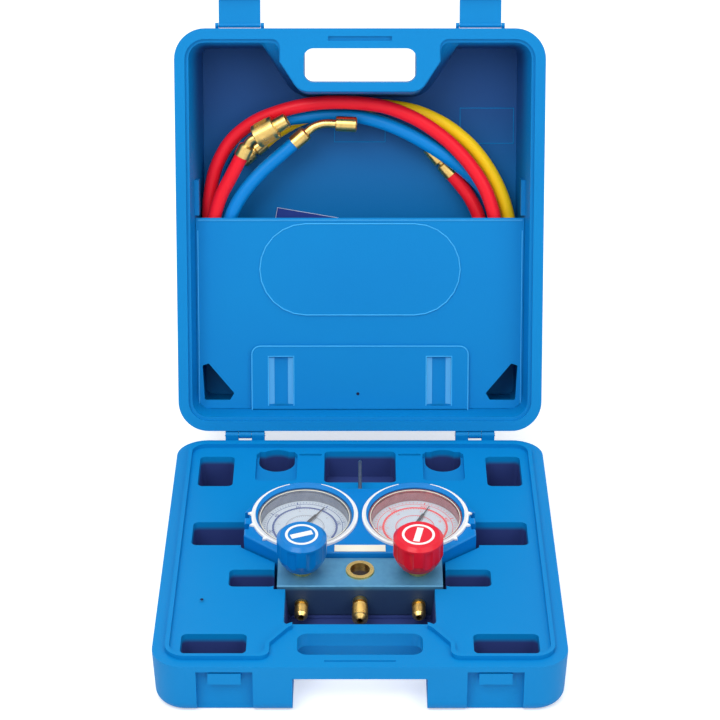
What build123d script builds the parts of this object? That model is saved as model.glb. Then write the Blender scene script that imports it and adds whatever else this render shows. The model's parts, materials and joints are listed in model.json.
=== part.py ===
"""Two-valve refrigerant manifold gauge set with its three charging hoses in a moulded carry case.

Frame: millimetres, +Z up, the case's front towards -Y, origin at the centre of the base's underside.
The lid stands open on its stop. Lid pieces are drawn in the shut case's coordinates, on a plane that
swings them open. The manifold is drawn on a plane of its own, tilted as its seat in the tray holds it.
"""

from build123d import *
from math import cos, radians, sin, sqrt, tan
import os

os.makedirs("parts", exist_ok=True)

# ---------------------------------------------------------------- case
CASE_W, CASE_D = 340.0, 375.0    # outside, across and front to back
SIDE, FRONT, BACK = CASE_W / 2, -CASE_D / 2, CASE_D / 2
RIM_Z = 46.0                     # parting plane of base and lid
LIP_H = 4.0                      # sealing lip that stands above the parting plane
LID_TOP = 121.0                  # outside height of the shut case
CORNER_R = 28.0                  # vertical corners
EDGE_R = 10.0                    # bottom and top edges
DRAFT = 3.0                      # degrees, outer walls
SKIN = 2.5                       # outer skin of base and lid
FLANGE_T = 2.0                   # rim flange of the inner skins
TRAY_T = 2.0                     # wall of the inner skins
FIT = 0.3                        # gap between pieces that lie against each other
LIP_INSET, LIP_T = 10.6, 3.6     # lip: outer face from the case's side, and thickness
SKIRT_W = 9.6                    # lid's rim outside the lip
INNER_INSET, INNER_R = 12.8, 15.0   # lid compartment's wall from the case's side, and its corners
HINGE_OUT = 4.0                  # hinge axis behind the back wall
HINGE_Z = RIM_Z + LIP_H
HINGE_Y = CASE_D / 2 + HINGE_OUT
OPEN_ANGLE = 107.05              # degrees, lid on its stop
KNUCKLE_R, HINGE_PIN_R, KNUCKLE_W = 3.7, 1.6, 12.0
HINGE_X = SIDE - 62.0                  # centre of each hinge

# handle: a bar along the front of base and lid, with a hole behind it
GRIP_W, GRIP_R = 103.0, 9.0
GRIP_FRONT, GRIP_BACK = FRONT + 18.0, FRONT + 49.0
BAR_T = 12.0                     # height of each half of the bar
NOTCH_W, LID_NOTCH_W = 110.0, 104.0   # hand opening beside the bar, base and lid
NOTCH_BACK = FRONT + 61.0        # back of the hand opening at the case's underside and top
NECK_FRONT_W, NECK_BACK_W, NECK_R = 148.0, 112.0, 16.0
NECK_Y = FRONT + 58.0            # back of the block round the handle's hole
NECK_OUT, NECK_SHOULDER = 20.0, 28.0   # block's reach past the front, its slope's depth
SLOT_W, SLOT_Y = 58.0, FRONT + 9.0   # locating slot along the bar

# latches
LATCH_X, LATCH_W, LATCH_T = SIDE - 60.0, 38.0, 2.5
LATCH_AXIS_OUT, LATCH_AXIS_UP = 2.6, 7.0   # pivot from the front face and above the parting plane
LATCH_LEN = 27.0                 # pivot to the hook's tip
LATCH_PIN_R, LATCH_BARREL_R = 1.1, 2.3
HOOK_T, HOOK_IN = 2.0, 4.2       # hook's lip, thickness and reach
CATCH_W, CATCH_GAP = 27.0, 0.6   # catch block's width, gap above the hook
RECESS_W, RECESS_TOP, RECESS_DEPTH = 46.0, 41.0, 8.0

# ---------------------------------------------------------------- lid pocket
POCKET_FRONT = 73.5              # front face of the hose pocket's panel, shut case
PANEL_T = 2.5
PANEL_TOP_Y = -10.5              # the panel's open edge
PANEL_MOUTH = CASE_W - 80.0      # width over which that edge has no rim
LID_FLOOR = 116.2                # inner floor of the lid, shut case
HAT_W, HAT_Y, HAT_RISE = 204.0, 110.8, 3.5
STADIUM_W, STADIUM_H, STADIUM_Y = 188.0, 86.5, 38.2

# ---------------------------------------------------------------- manifold
TILT = 6.5                       # degrees, hook end up
SEAT_Y, SEAT_Z = -68.3, 47.4     # block's upper front edge
BLOCK_W, BLOCK_D, BLOCK_H = 141.0, 39.0, 32.0
VALVE_X, VALVE_Y = 49.5, 21.4
GAUGE_X, GAUGE_Y = 48.5, 90.5
RING_OD, RING_ID = 93.5, 83.0
HOUSING_TOP = 5.0                # housing's face above the block's top
PORT_X, PORT_H, CENTRE_PORT_H = 50.0, -19.0, -16.0
FLARE_R = 5.55                   # 1/4 inch SAE flare, 7/16 inch over the thread's crests
BORE_R = 2.4                     # flow bore
KNOB_R, KNOB_BOTTOM, KNOB_TOP = 21.3, 8.0, 38.5
STEM_R = 3.2
VALVE_PITCH = 1.5                # stem's rise for one turn
VALVE_TURNS = 1.5

SIDES = (("left", -1), ("right", 1))


def swung(angle):
    """Plane whose own coordinates are those of the shut case, turned about the hinge."""
    swing = radians(angle)
    back = Vector(0, cos(swing), -sin(swing))
    up = Vector(0, sin(swing), cos(swing))
    origin = Vector(0, HINGE_Y, HINGE_Z) - back * HINGE_Y - up * HINGE_Z
    return Plane(origin=origin, x_dir=(1, 0, 0), z_dir=up)


LID = swung(OPEN_ANGLE)
MANIFOLD = Plane(
    origin=(0, SEAT_Y, SEAT_Z), x_dir=(1, 0, 0), z_dir=(0, -sin(radians(TILT)), cos(radians(TILT)))
)


def side_of(plane):
    """Plane across the given one: its own x runs along the given plane's y, its own y up the normal."""
    return Plane(origin=plane.origin, x_dir=plane.y_dir, z_dir=plane.x_dir)


def at(plane, x, y, z):
    """Plane parallel to the given one, with its origin at that plane's own x, y, z."""
    return Plane(origin=plane.from_local_coords(Vector(x, y, z)), x_dir=plane.x_dir, z_dir=plane.z_dir)


def section(place):
    """Plane for a turned profile: its own x is the radius and its own y the turning axis."""
    return Plane(origin=place.origin, x_dir=place.x_dir, z_dir=-place.y_dir)


def turned(place, *rings, mode=Mode.ADD):
    """Turned solid round the place's normal, from (radius, height) corners."""
    with BuildSketch(section(place)) as profile:
        with BuildLine():
            Polyline(*rings, close=True)
        make_face()
    revolve(profile.sketch, axis=Axis(place.origin, place.z_dir), mode=mode)


def save(piece, name):
    """Labels a finished piece and writes its STEP file."""
    piece.part.label = name
    export_step(piece.part, f"parts/{name}.step")


def outline(inset):
    """The case's plan, drawn in by the inset."""
    RectangleRounded(CASE_W - 2 * inset, CASE_D - 2 * inset, CORNER_R - inset)


def neck(margin):
    """Plan of the block round the handle's hole, grown by the margin."""
    front, shoulder = FRONT - NECK_OUT, NECK_Y - NECK_SHOULDER
    with BuildSketch(mode=Mode.PRIVATE) as plan:
        with BuildLine():
            Polyline(
                (-NECK_FRONT_W / 2 - margin, front),
                (-NECK_FRONT_W / 2 - margin, shoulder),
                (-NECK_BACK_W / 2 - margin, NECK_Y + margin),
                (NECK_BACK_W / 2 + margin, NECK_Y + margin),
                (NECK_FRONT_W / 2 + margin, shoulder),
                (NECK_FRONT_W / 2 + margin, front),
                close=True,
            )
        make_face()
        fillet(plan.vertices().group_by(Axis.Y)[-1], NECK_R + margin)
    return plan.sketch


def bordered(inset, radius, margin):
    """Plan inside the rim: the case's plan drawn in, less the neck."""
    with BuildSketch(mode=Mode.PRIVATE) as plan:
        RectangleRounded(CASE_W - 2 * inset, CASE_D - 2 * inset, radius)
        add(neck(margin), mode=Mode.SUBTRACT)
        beside_neck = plan.vertices().filter_by(
            lambda v: v.Y < NECK_Y - 40 and abs(v.X) < NECK_FRONT_W / 2 + 12)
        fillet(beside_neck, 8)
    return plan.sketch


def skin_form(rim, depth, inset):
    """Drafted box below a rim plane, with rounded far edges."""
    with BuildSketch(rim) as plan:
        outline(inset)
    body = extrude(plan.sketch, amount=depth - inset, taper=DRAFT)
    far = body.faces().sort_by(Axis(rim.origin, rim.z_dir))[-1]
    fillet(far.edges(), EDGE_R - inset)


def hand_room(plane, parting, bar_far, far, width, grow):
    """Room for the hand under the bar, open to the outside. grow 0 cuts it, SKIN makes its walls."""
    slope = (NOTCH_BACK - GRIP_BACK) / (far - bar_far)
    out = far + (far - bar_far) * 0.1
    with BuildSketch(side_of(plane)) as profile:
        with BuildLine():
            Polyline(
                (FRONT - 5, out),
                (FRONT - 5, bar_far),
                (GRIP_BACK + grow, bar_far),
                (GRIP_BACK + grow + slope * (out - bar_far), out),
                close=True,
            )
        make_face()
        if grow:
            with BuildLine():
                Polyline(
                    (FRONT - 5, bar_far),
                    (FRONT - 5, parting),
                    (GRIP_BACK + grow, parting),
                    (GRIP_BACK + grow, bar_far),
                    close=True,
                )
            make_face()
    extrude(profile.sketch, amount=width / 2 + grow, both=True, mode=Mode.SUBTRACT)


def grip_hole(plane, near, far):
    """Hole for the fingers behind the bar."""
    with BuildSketch(plane.offset(near)) as plan:
        with Locations((0, (GRIP_FRONT + GRIP_BACK) / 2)):
            RectangleRounded(GRIP_W, GRIP_BACK - GRIP_FRONT, GRIP_R)
    extrude(plan.sketch, amount=far - near, mode=Mode.SUBTRACT)


# ================================================================ base, outer skin
SHELL_TOP = RIM_Z - FLANGE_T
DOWN = Plane(origin=(0, 0, SHELL_TOP), x_dir=(1, 0, 0), z_dir=(0, 0, -1))
BASE_BAR = RIM_Z - BAR_T

with BuildPart() as base_room:
    skin_form(DOWN, SHELL_TOP, SKIN)
    hand_room(Plane.XY, SHELL_TOP + 1, BASE_BAR, 0, NOTCH_W, SKIN)
    for name, side in SIDES:
        with Locations((side * LATCH_X, FRONT, SHELL_TOP / 2)):
            Box(RECESS_W + 2 * SKIN, 2 * (RECESS_DEPTH + SKIN), SHELL_TOP + 2, mode=Mode.SUBTRACT)


LATCH_Y, LATCH_Z = FRONT - LATCH_AXIS_OUT, RIM_Z + LATCH_AXIS_UP
HOOK_TOP = LATCH_Z - LATCH_LEN + HOOK_T
CATCH_LOW = HOOK_TOP + CATCH_GAP
WEB_OUT = HINGE_OUT + KNUCKLE_R
PITCH = KNUCKLE_W + FIT
BASE_KNUCKLES = [side * HINGE_X + step * PITCH for _, side in SIDES for step in (-1, 1)]
LID_KNUCKLES = [side * HINGE_X for _, side in SIDES]


def block(plane, x, y, z, mode=Mode.ADD):
    """Box between pairs of the plane's own coordinates."""
    with BuildSketch(plane.offset(z[0])) as plan:
        with Locations(((x[0] + x[1]) / 2, (y[0] + y[1]) / 2)):
            Rectangle(x[1] - x[0], y[1] - y[0])
    extrude(plan.sketch, amount=z[1] - z[0], mode=mode)


def cross_rod(plane, x, y, z, radius, width, mode=Mode.ADD):
    """Cylinder along X, centred at the plane's own x, y, z."""
    with BuildSketch(at(side_of(plane), y, z, x - width / 2)) as plan:
        Circle(radius)
    extrude(plan.sketch, amount=width, mode=mode)


def knuckles(plane, places, root, reach, hole):
    """Hinge knuckles with the webs that carry them; root is where the wall takes them over."""
    low, high = min(root, reach, HINGE_Z), max(root, reach, HINGE_Z)
    for x in places:
        span = (x - KNUCKLE_W / 2, x + KNUCKLE_W / 2)
        block(plane, span, (BACK + FIT, BACK + WEB_OUT), (low, high))
        block(plane, span, (BACK - SKIN, BACK + WEB_OUT), (min(root, reach), max(root, reach)))
        cross_rod(plane, x, HINGE_Y, HINGE_Z, KNUCKLE_R, KNUCKLE_W)
        cross_rod(plane, x, HINGE_Y, HINGE_Z, hole, KNUCKLE_W + 1, mode=Mode.SUBTRACT)


with BuildPart() as base_shell:
    skin_form(DOWN, SHELL_TOP, 0)
    add(base_room.part, mode=Mode.SUBTRACT)
    hand_room(Plane.XY, SHELL_TOP + 1, BASE_BAR, 0, NOTCH_W, 0)
    grip_hole(Plane.XY, BASE_BAR - 1, SHELL_TOP + 1)
    for name, side in SIDES:
        x = side * LATCH_X
        recess, catch = (x - RECESS_W / 2, x + RECESS_W / 2), (x - CATCH_W / 2, x + CATCH_W / 2)
        block(Plane.XY, recess, (FRONT - 1, FRONT + RECESS_DEPTH), (-1, RECESS_TOP), Mode.SUBTRACT)
        block(Plane.XY, catch, (FRONT + 0.8, FRONT + RECESS_DEPTH + 1), (CATCH_LOW, RECESS_TOP - 2))
    knuckles(Plane.XY, BASE_KNUCKLES, SHELL_TOP, SHELL_TOP - 8, HINGE_PIN_R)
save(base_shell, "base_shell")

# ================================================================ base, tray
TRAY_Z = RIM_Z
POCKET_FLOOR, PORT_FLOOR, HOOK_FLOOR = 16.0, 13.5, 20.0
POCKET_DRAFT = 4.0
POCKET_R = 5.0
# centre x, centre y, width, depth, floor height; each has its mirror image
PAIRED_POCKETS = (
    (SIDE - 38.0, BACK - 58.5, 32.0, 54.0, POCKET_FLOOR),
    (SIDE - 47.0, 19.3, 49.0, 38.7, POCKET_FLOOR),
    (92.0, -53.5, 40.0, 27.0, POCKET_FLOOR),
    (SIDE - 50.0, FRONT + 34.0, 54.0, 28.5, POCKET_FLOOR),
    (77.0, BACK - 49.5, 38.0, 52.0, 41.5),
    (46.0, BACK - 27.5, 21.0, 3.2, 37.0),
)
HOOK_POCKET = (0.0, 137.3, 66.0, 57.4, HOOK_FLOOR)
PORT_POCKET = (0.0, -95.0, 127.0, 59.8, PORT_FLOOR)
SCOOP_X, SCOOP_Y, SCOOP_R, SCOOP_BACK = 77.0, BACK - 35.0, 16.5, BACK - 22.5
SEAT_GAP, SEAT_MARGIN = 0.3, 3.0
SEAT_CUT = 40.0                  # the seat is cut this far above the manifold's plane


def pocket_plan(width, depth, grow):
    """Rounded pocket outline, drawn with least side for its corners."""
    radius = min(POCKET_R, 0.4 * min(width, depth)) + grow
    RectangleRounded(width + 2 * grow, depth + 2 * grow, radius)


HOUSING_R = 50.0
WING = ((70.5, 39.2), (101.0, 64.0), (101.0, 98.0), (86.0, 123.5))
WEB = ((40.0, 100.0), (20.0, 132.0))


def housing_plan(margin, front=WING[0][1]):
    """Plan of the gauge housing: a round for each gauge, wings outside them and a web between."""
    wing = [(x + margin, y) for x, y in WING]
    half = [(0, front)] + wing + [(GAUGE_X, GAUGE_Y + HOUSING_R + margin), (0, GAUGE_Y)]
    web = [(x, y + margin) for x, y in WEB]
    with BuildSketch(mode=Mode.PRIVATE) as plan:
        with Locations((GAUGE_X, GAUGE_Y), (-GAUGE_X, GAUGE_Y)):
            Circle(HOUSING_R + margin)
        for side in (-1, 1):
            with BuildLine():
                Polyline(*[(side * x, y) for x, y in half], close=True)
            make_face()
        with BuildLine():
            Polyline(*web, *[(-x, y) for x, y in reversed(web)], close=True)
        make_face()
    return plan.sketch


def seat_plan(margin):
    """Plan of the whole manifold, block and housing, grown by the margin."""
    with BuildSketch(mode=Mode.PRIVATE) as plan:
        with Locations((0, BLOCK_D / 2)):
            Rectangle(BLOCK_W + 2 * margin, BLOCK_D + 2 * margin)
        add(housing_plan(margin))
    return plan.sketch


def prism(plan, plane, low, high, mode=Mode.ADD):
    """Extrudes a plan, drawn on the plane's own axes, from one height of that plane to another."""
    placed = Sketch() + [face.moved(plane.offset(low).location) for face in plan.faces()]
    extrude(placed, amount=high - low, mode=mode)


SEAT_H = -BLOCK_H - SEAT_GAP
POCKETS = (*PAIRED_POCKETS, *[(-p[0], *p[1:]) for p in PAIRED_POCKETS], HOOK_POCKET, PORT_POCKET)


def scoops(grow, floor, top):
    """Round-ended deep pockets inside the shallow ones."""
    with BuildSketch(Plane.XY.offset(top)) as plan:
        for side in (-1, 1):
            with Locations((side * SCOOP_X, SCOOP_Y)):
                Circle(SCOOP_R + grow)
            with Locations((side * SCOOP_X, (SCOOP_Y + SCOOP_BACK + grow) / 2)):
                Rectangle(2 * (SCOOP_R + grow), SCOOP_BACK + grow - SCOOP_Y)
    return extrude(plan.sketch, amount=floor - top, mode=Mode.PRIVATE)


def pocket(cx, cy, width, depth, floor, top, grow):
    """One drafted pocket as a solid, from the top height down to its floor."""
    with BuildSketch(Plane.XY.offset(top)) as plan:
        with Locations((cx, cy)):
            pocket_plan(width, depth, grow)
    return extrude(plan.sketch, amount=floor - top, taper=POCKET_DRAFT, mode=Mode.PRIVATE)


with BuildPart() as base_tray:
    for spec in POCKETS:
        add(pocket(*spec[:4], spec[4] - TRAY_T, SHELL_TOP, TRAY_T))
    add(scoops(TRAY_T, POCKET_FLOOR + 4 - TRAY_T, SHELL_TOP))
    prism(seat_plan(SEAT_MARGIN + TRAY_T), MANIFOLD, SEAT_H - TRAY_T, SEAT_CUT)
    with BuildSketch(Plane.XY.offset(SHELL_TOP)) as above:
        Rectangle(2 * CASE_W, 2 * CASE_D)
    extrude(above.sketch, amount=100, mode=Mode.SUBTRACT)
    with BuildSketch(Plane.XY.offset(SHELL_TOP)) as flange:
        outline(0)
    extrude(flange.sketch, amount=FLANGE_T)
    lip_in = LIP_INSET + LIP_T
    prism(bordered(LIP_INSET, CORNER_R - LIP_INSET, 0), Plane.XY, RIM_Z, RIM_Z + LIP_H)
    prism(bordered(lip_in, CORNER_R - lip_in, LIP_T), Plane.XY, RIM_Z, RIM_Z + LIP_H, Mode.SUBTRACT)
    block(Plane.XY, (-NECK_BACK_W / 2, NECK_BACK_W / 2), (NECK_Y - 8, NECK_Y + 8),
          (RIM_Z, RIM_Z + LIP_H + 1), Mode.SUBTRACT)
    for spec in POCKETS:
        add(pocket(*spec[:4], spec[4], TRAY_Z, 0), mode=Mode.SUBTRACT)
    add(scoops(0, POCKET_FLOOR + 4, TRAY_Z), mode=Mode.SUBTRACT)
    prism(seat_plan(SEAT_MARGIN), MANIFOLD, SEAT_H, SEAT_CUT, Mode.SUBTRACT)
    grip_hole(Plane.XY, SHELL_TOP - 1, RIM_Z + 1)
    block(Plane.XY, (-SLOT_W / 2, SLOT_W / 2), (SLOT_Y - 0.8, SLOT_Y + 0.8),
          (RIM_Z - 1, RIM_Z + 1), Mode.SUBTRACT)
save(base_tray, "base_tray")

# ================================================================ lid, inner skin
LID_RIM = RIM_Z + FIT
LINER_Z = RIM_Z + LIP_H
LINER_TOP = LINER_Z + FLANGE_T
LINER_DRAFT = 8.0
LID_BAR = LINER_Z + 11.0
SKIRT_GAP = LIP_INSET - SKIRT_W
POST_T, POST_Y0, POST_Y1, POST_LOW = 5.0, -46.0, -13.0, 71.0


def compartment(grow):
    """Plan of the lid's compartment at the rim."""
    return bordered(INNER_INSET - grow, INNER_R + grow, -grow)


def drafted(plan, plane, low, high, taper, mode):
    """Extrudes a plan on the plane from low to high, drawing in as it goes."""
    placed = Sketch() + [face.moved(plane.offset(low).location) for face in plan.faces()]
    extrude(placed, amount=high - low, taper=taper, mode=mode)


def drawn_in(z):
    """How far the compartment's wall has drawn in at a height of the shut case."""
    return (z - LINER_Z) * tan(radians(LINER_DRAFT))


with BuildPart() as lid_liner:
    drafted(compartment(TRAY_T), LID, LINER_Z, LID_FLOOR + TRAY_T, LINER_DRAFT, Mode.ADD)
    with BuildSketch(LID.offset(LID_RIM)) as flange:
        outline(0)
    extrude(flange.sketch, amount=LINER_TOP - LID_RIM)
    prism(bordered(SKIRT_W, CORNER_R - SKIRT_W, -SKIRT_GAP), LID, LID_RIM, LINER_Z, Mode.SUBTRACT)
    drafted(compartment(0), LID, LINER_Z, LID_FLOOR, LINER_DRAFT, Mode.SUBTRACT)
    grip_hole(LID, LID_RIM - 1, LINER_TOP + 1)
    block(LID, (-SLOT_W / 2, SLOT_W / 2), (SLOT_Y - 2, SLOT_Y + 2),
          (LID_RIM - 1, LID_RIM + 2.5), Mode.SUBTRACT)
    for name, side in SIDES:
        wall = CASE_W / 2 - INNER_INSET - drawn_in(POST_LOW) + 1
        span = sorted((side * wall, side * (wall - POST_T)))
        block(LID, span, (POST_Y0, POST_Y1), (POST_LOW, LID_FLOOR + 1))
save(lid_liner, "lid_liner")

# ================================================================ lid, outer skin
LID_UP = LID.offset(LINER_TOP)
with BuildPart() as lid_room:
    skin_form(LID_UP, LID_TOP - LINER_TOP, SKIN)
    hand_room(LID, LINER_TOP - 1, LID_BAR, LID_TOP, LID_NOTCH_W, SKIN)

with BuildPart() as lid_shell:
    skin_form(LID_UP, LID_TOP - LINER_TOP, 0)
    add(lid_room.part, mode=Mode.SUBTRACT)
    hand_room(LID, LINER_TOP - 1, LID_BAR, LID_TOP, LID_NOTCH_W, 0)
    grip_hole(LID, LINER_TOP - 1, LID_BAR + 1)
    knuckles(LID, LID_KNUCKLES, LINER_TOP, LINER_TOP + 10, HINGE_PIN_R + 0.05)
    for name, side in SIDES:
        for end in (-1, 1):
            x = side * LATCH_X + end * (LATCH_W / 2 + FIT + 1.5)
            ear = (x - 1.5, x + 1.5)
            block(LID, ear, (LATCH_Y, FRONT + SKIN), (LINER_TOP, LATCH_Z + LATCH_BARREL_R))
            cross_rod(LID, x, LATCH_Y, LATCH_Z, LATCH_BARREL_R, 3.0)
            cross_rod(LID, x, LATCH_Y, LATCH_Z, LATCH_PIN_R, 4.0, mode=Mode.SUBTRACT)
save(lid_shell, "lid_shell")

# ================================================================ hinge pins, latches
for name, side in SIDES:
    with BuildPart() as pin:
        cross_rod(Plane.XY, side * HINGE_X, HINGE_Y, HINGE_Z, HINGE_PIN_R, 3 * PITCH + 1)
    save(pin, f"hinge_pin_{name}")

    with BuildPart() as latch:
        x = side * LATCH_X
        span = (x - LATCH_W / 2, x + LATCH_W / 2)
        tip = LATCH_Y - LATCH_LEN
        block(LID, span, (tip, LATCH_Y), (LATCH_Z - LATCH_T / 2, LATCH_Z + LATCH_T / 2))
        block(LID, span, (tip, tip + HOOK_T), (LATCH_Z - LATCH_T / 2 - HOOK_IN, LATCH_Z))
        cross_rod(LID, x, LATCH_Y, LATCH_Z, LATCH_BARREL_R, LATCH_W)
        cross_rod(LID, x, LATCH_Y, LATCH_Z, LATCH_PIN_R + 0.05, LATCH_W + 1, mode=Mode.SUBTRACT)
    save(latch, f"latch_{name}")

    with BuildPart() as pin:
        cross_rod(LID, side * LATCH_X, LATCH_Y, LATCH_Z, LATCH_PIN_R, LATCH_W + 2 * FIT + 6)
    save(pin, f"latch_pin_{name}")

# ================================================================ lid, hose pocket panel
PANEL_BACK = POCKET_FRONT + PANEL_T
PANEL_RIM = 8.0
RIM_T = 2.0
BOSS_X, BOSS_Y, BOSS_R = 52.0, 60.0, 5.0
GROOVE_X, GROOVE_W, GROOVE_Y0, GROOVE_Y1 = 74.5, 24.0, 120.5, 168.0
GROOVE_R, GROOVE_T = 18.0, 2.0
GROOVE_SINK = sqrt(GROOVE_R**2 - (GROOVE_W / 2) ** 2)    # groove's axis above the raised face
WINDOW = ((148.8, 129.8), (143.0, 127.9), (119.0, 156.5), (123.0, 163.2), (147.0, 163.2))


def panel_plan(draw):
    """Plan of the panel, drawn in from the compartment's wall."""
    inset = INNER_INSET + draw
    with BuildSketch(mode=Mode.PRIVATE) as plan:
        RectangleRounded(CASE_W - 2 * inset, CASE_D - 2 * inset, max(INNER_R - draw, 3))
        with Locations((0, PANEL_TOP_Y - CASE_D / 2)):
            Rectangle(CASE_W, CASE_D, mode=Mode.SUBTRACT)
    return plan.sketch


def hat_plan(draw):
    """Plan of the raised part of the panel, over the hinge."""
    back = CASE_D / 2 - INNER_INSET - drawn_in(POCKET_FRONT) - FIT
    with BuildSketch(mode=Mode.PRIVATE) as plan:
        with Locations((0, (HAT_Y + draw + back) / 2)):
            Rectangle(HAT_W - 2 * draw, back - HAT_Y - draw)
        fillet(plan.vertices().group_by(Axis.Y)[0], 9 - draw)
    return plan.sketch


FRONT_DRAW = drawn_in(POCKET_FRONT) + FIT
with BuildPart() as hose_pocket_panel:
    drafted(panel_plan(FRONT_DRAW), LID, POCKET_FRONT, PANEL_BACK + PANEL_RIM, LINER_DRAFT, Mode.ADD)
    hollow = drawn_in(PANEL_BACK) + FIT + RIM_T
    drafted(panel_plan(hollow), LID, PANEL_BACK, PANEL_BACK + PANEL_RIM + 1, LINER_DRAFT, Mode.SUBTRACT)
    block(LID, (-PANEL_MOUTH / 2, PANEL_MOUTH / 2), (PANEL_TOP_Y - 1, PANEL_TOP_Y + RIM_T + 4),
          (PANEL_BACK, PANEL_BACK + PANEL_RIM + 1), Mode.SUBTRACT)
    prism(hat_plan(0), LID, POCKET_FRONT - HAT_RISE, POCKET_FRONT)
    prism(hat_plan(PANEL_T), LID, PANEL_BACK - HAT_RISE, PANEL_BACK, Mode.SUBTRACT)
    with BuildSketch(LID.offset(POCKET_FRONT - 0.8)) as stadium:
        with Locations((0, STADIUM_Y)):
            SlotOverall(STADIUM_W, STADIUM_H)
    extrude(stadium.sketch, amount=1.0)
    for name, side in SIDES:
        for radius, mode in ((GROOVE_R + GROOVE_T, Mode.ADD), (GROOVE_R, Mode.SUBTRACT)):
            closed = GROOVE_T if mode == Mode.ADD else 0
            plane = at(LID, side * GROOVE_X, GROOVE_Y0 - closed, POCKET_FRONT - HAT_RISE - GROOVE_SINK)
            trough = Plane(origin=plane.origin, x_dir=plane.x_dir, z_dir=plane.y_dir)
            with BuildSketch(trough) as round_form:
                Circle(radius)
                if mode == Mode.ADD:
                    with Locations((0, 2 * radius - GROOVE_SINK)):
                        Rectangle(4 * radius, 4 * radius, mode=Mode.SUBTRACT)
            extrude(round_form.sketch, amount=GROOVE_Y1 - GROOVE_Y0 + closed, mode=mode)
        with BuildSketch(LID.offset(POCKET_FRONT - 1)) as window:
            with BuildLine():
                Polyline(*[(side * x, y) for x, y in WINDOW], close=True)
            make_face()
            fillet(window.vertices(), 1.5)
        extrude(window.sketch, amount=PANEL_T + 2, mode=Mode.SUBTRACT)
        with BuildSketch(LID.offset(PANEL_BACK - 0.5)) as boss:
            with Locations((side * BOSS_X, BOSS_Y)):
                Circle(BOSS_R)
        extrude(boss.sketch, amount=LID_FLOOR - FIT - PANEL_BACK + 0.5)
save(hose_pocket_panel, "hose_pocket_panel")

# ================================================================ manifold block
PORT_FACE = Plane(origin=MANIFOLD.origin, x_dir=MANIFOLD.x_dir, z_dir=-MANIFOLD.y_dir)
CHAMBER_R, CHAMBER_H = 6.0, -24.0
PASSAGE_H = -27.0
GLASS_Y, GLASS_BORE_R, GLASS_RING_R, GLASS_LENS_R = 20.8, 10.0, 12.0, 8.4
PORT_THREAD_R, PORT_THREAD_L = 4.6, 8.0
BONNET_R, BONNET_L, BONNET_COLLAR_R, BONNET_COLLAR_H = 7.9, 12.0, 8.8, 6.0
PORTS = (("left", -PORT_X, PORT_H), ("right", PORT_X, PORT_H), ("centre", 0.0, CENTRE_PORT_H))


def bore(plane, x, y, radius, depth):
    """Round hole into the block, from a face's own x, y."""
    with BuildSketch(plane) as plan:
        with Locations((x, y)):
            Circle(radius)
    extrude(plan.sketch, amount=-depth, mode=Mode.SUBTRACT)


with BuildPart() as manifold_block:
    block(MANIFOLD, (-BLOCK_W / 2, BLOCK_W / 2), (0, BLOCK_D), (-BLOCK_H, 0))
    chamfer(manifold_block.edges().filter_by(Axis.X), 0.8)
    for name, side in SIDES:
        x = side * VALVE_X
        bore(MANIFOLD, x, VALVE_Y, BONNET_R, BONNET_L)
        bore(MANIFOLD, x, VALVE_Y, CHAMBER_R, -CHAMBER_H)
        bore(MANIFOLD, x, VALVE_Y, BORE_R - 0.4, -PASSAGE_H + 0.5)
        bore(PORT_FACE.offset(-VALVE_Y), x, PORT_H, BORE_R, BLOCK_D - VALVE_Y + 1)
    bore(MANIFOLD, 0, GLASS_Y, GLASS_BORE_R, 8)
    bore(MANIFOLD, 0, GLASS_Y, GLASS_LENS_R - 1, 20)
    bore(MANIFOLD, 0, GLASS_Y, BORE_R - 0.4, -PASSAGE_H + 0.5)
    cross_rod(MANIFOLD, 0, VALVE_Y, PASSAGE_H, BORE_R, 2 * VALVE_X + 3, mode=Mode.SUBTRACT)
    for name, x, h in PORTS:
        bore(PORT_FACE, x, h, PORT_THREAD_R, PORT_THREAD_L)
        bore(PORT_FACE, x, h, BORE_R, VALVE_Y)
save(manifold_block, "manifold_block")

# ================================================================ flare ports
FLARE_L, CONE_L, CONE_R = 10.0, 2.6, 3.2
COLLAR_R, COLLAR_L, NECK_IN, GROOVE_L = 5.9, 4.0, 4.4, 2.4
CENTRE_R, CENTRE_COLLAR_R, CENTRE_L = 6.6, 6.4, 16.0


def flare_port(x, h, collar_r, collar_l, barrel_r, barrel_l):
    """Turned flare union: threaded shank, collar, groove, barrel and sealing cone, with its bore."""
    end = collar_l + GROOVE_L + barrel_l
    turned(
        at(PORT_FACE, x, h, 0),
        (BORE_R, -PORT_THREAD_L), (PORT_THREAD_R, -PORT_THREAD_L), (PORT_THREAD_R, 0),
        (collar_r - 1, 0), (collar_r, 1), (collar_r, collar_l), (NECK_IN, collar_l),
        (NECK_IN, collar_l + GROOVE_L), (barrel_r, collar_l + GROOVE_L), (barrel_r, end),
        (CONE_R, end + CONE_L), (BORE_R, end + CONE_L),
    )


for name, side in SIDES:
    with BuildPart() as port:
        flare_port(side * PORT_X, PORT_H, COLLAR_R, COLLAR_L, FLARE_R, FLARE_L)
    save(port, f"port_{name}")
with BuildPart() as port:
    flare_port(0, CENTRE_PORT_H, CENTRE_COLLAR_R, COLLAR_L + 2, CENTRE_R, CENTRE_L)
save(port, "port_centre")

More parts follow.
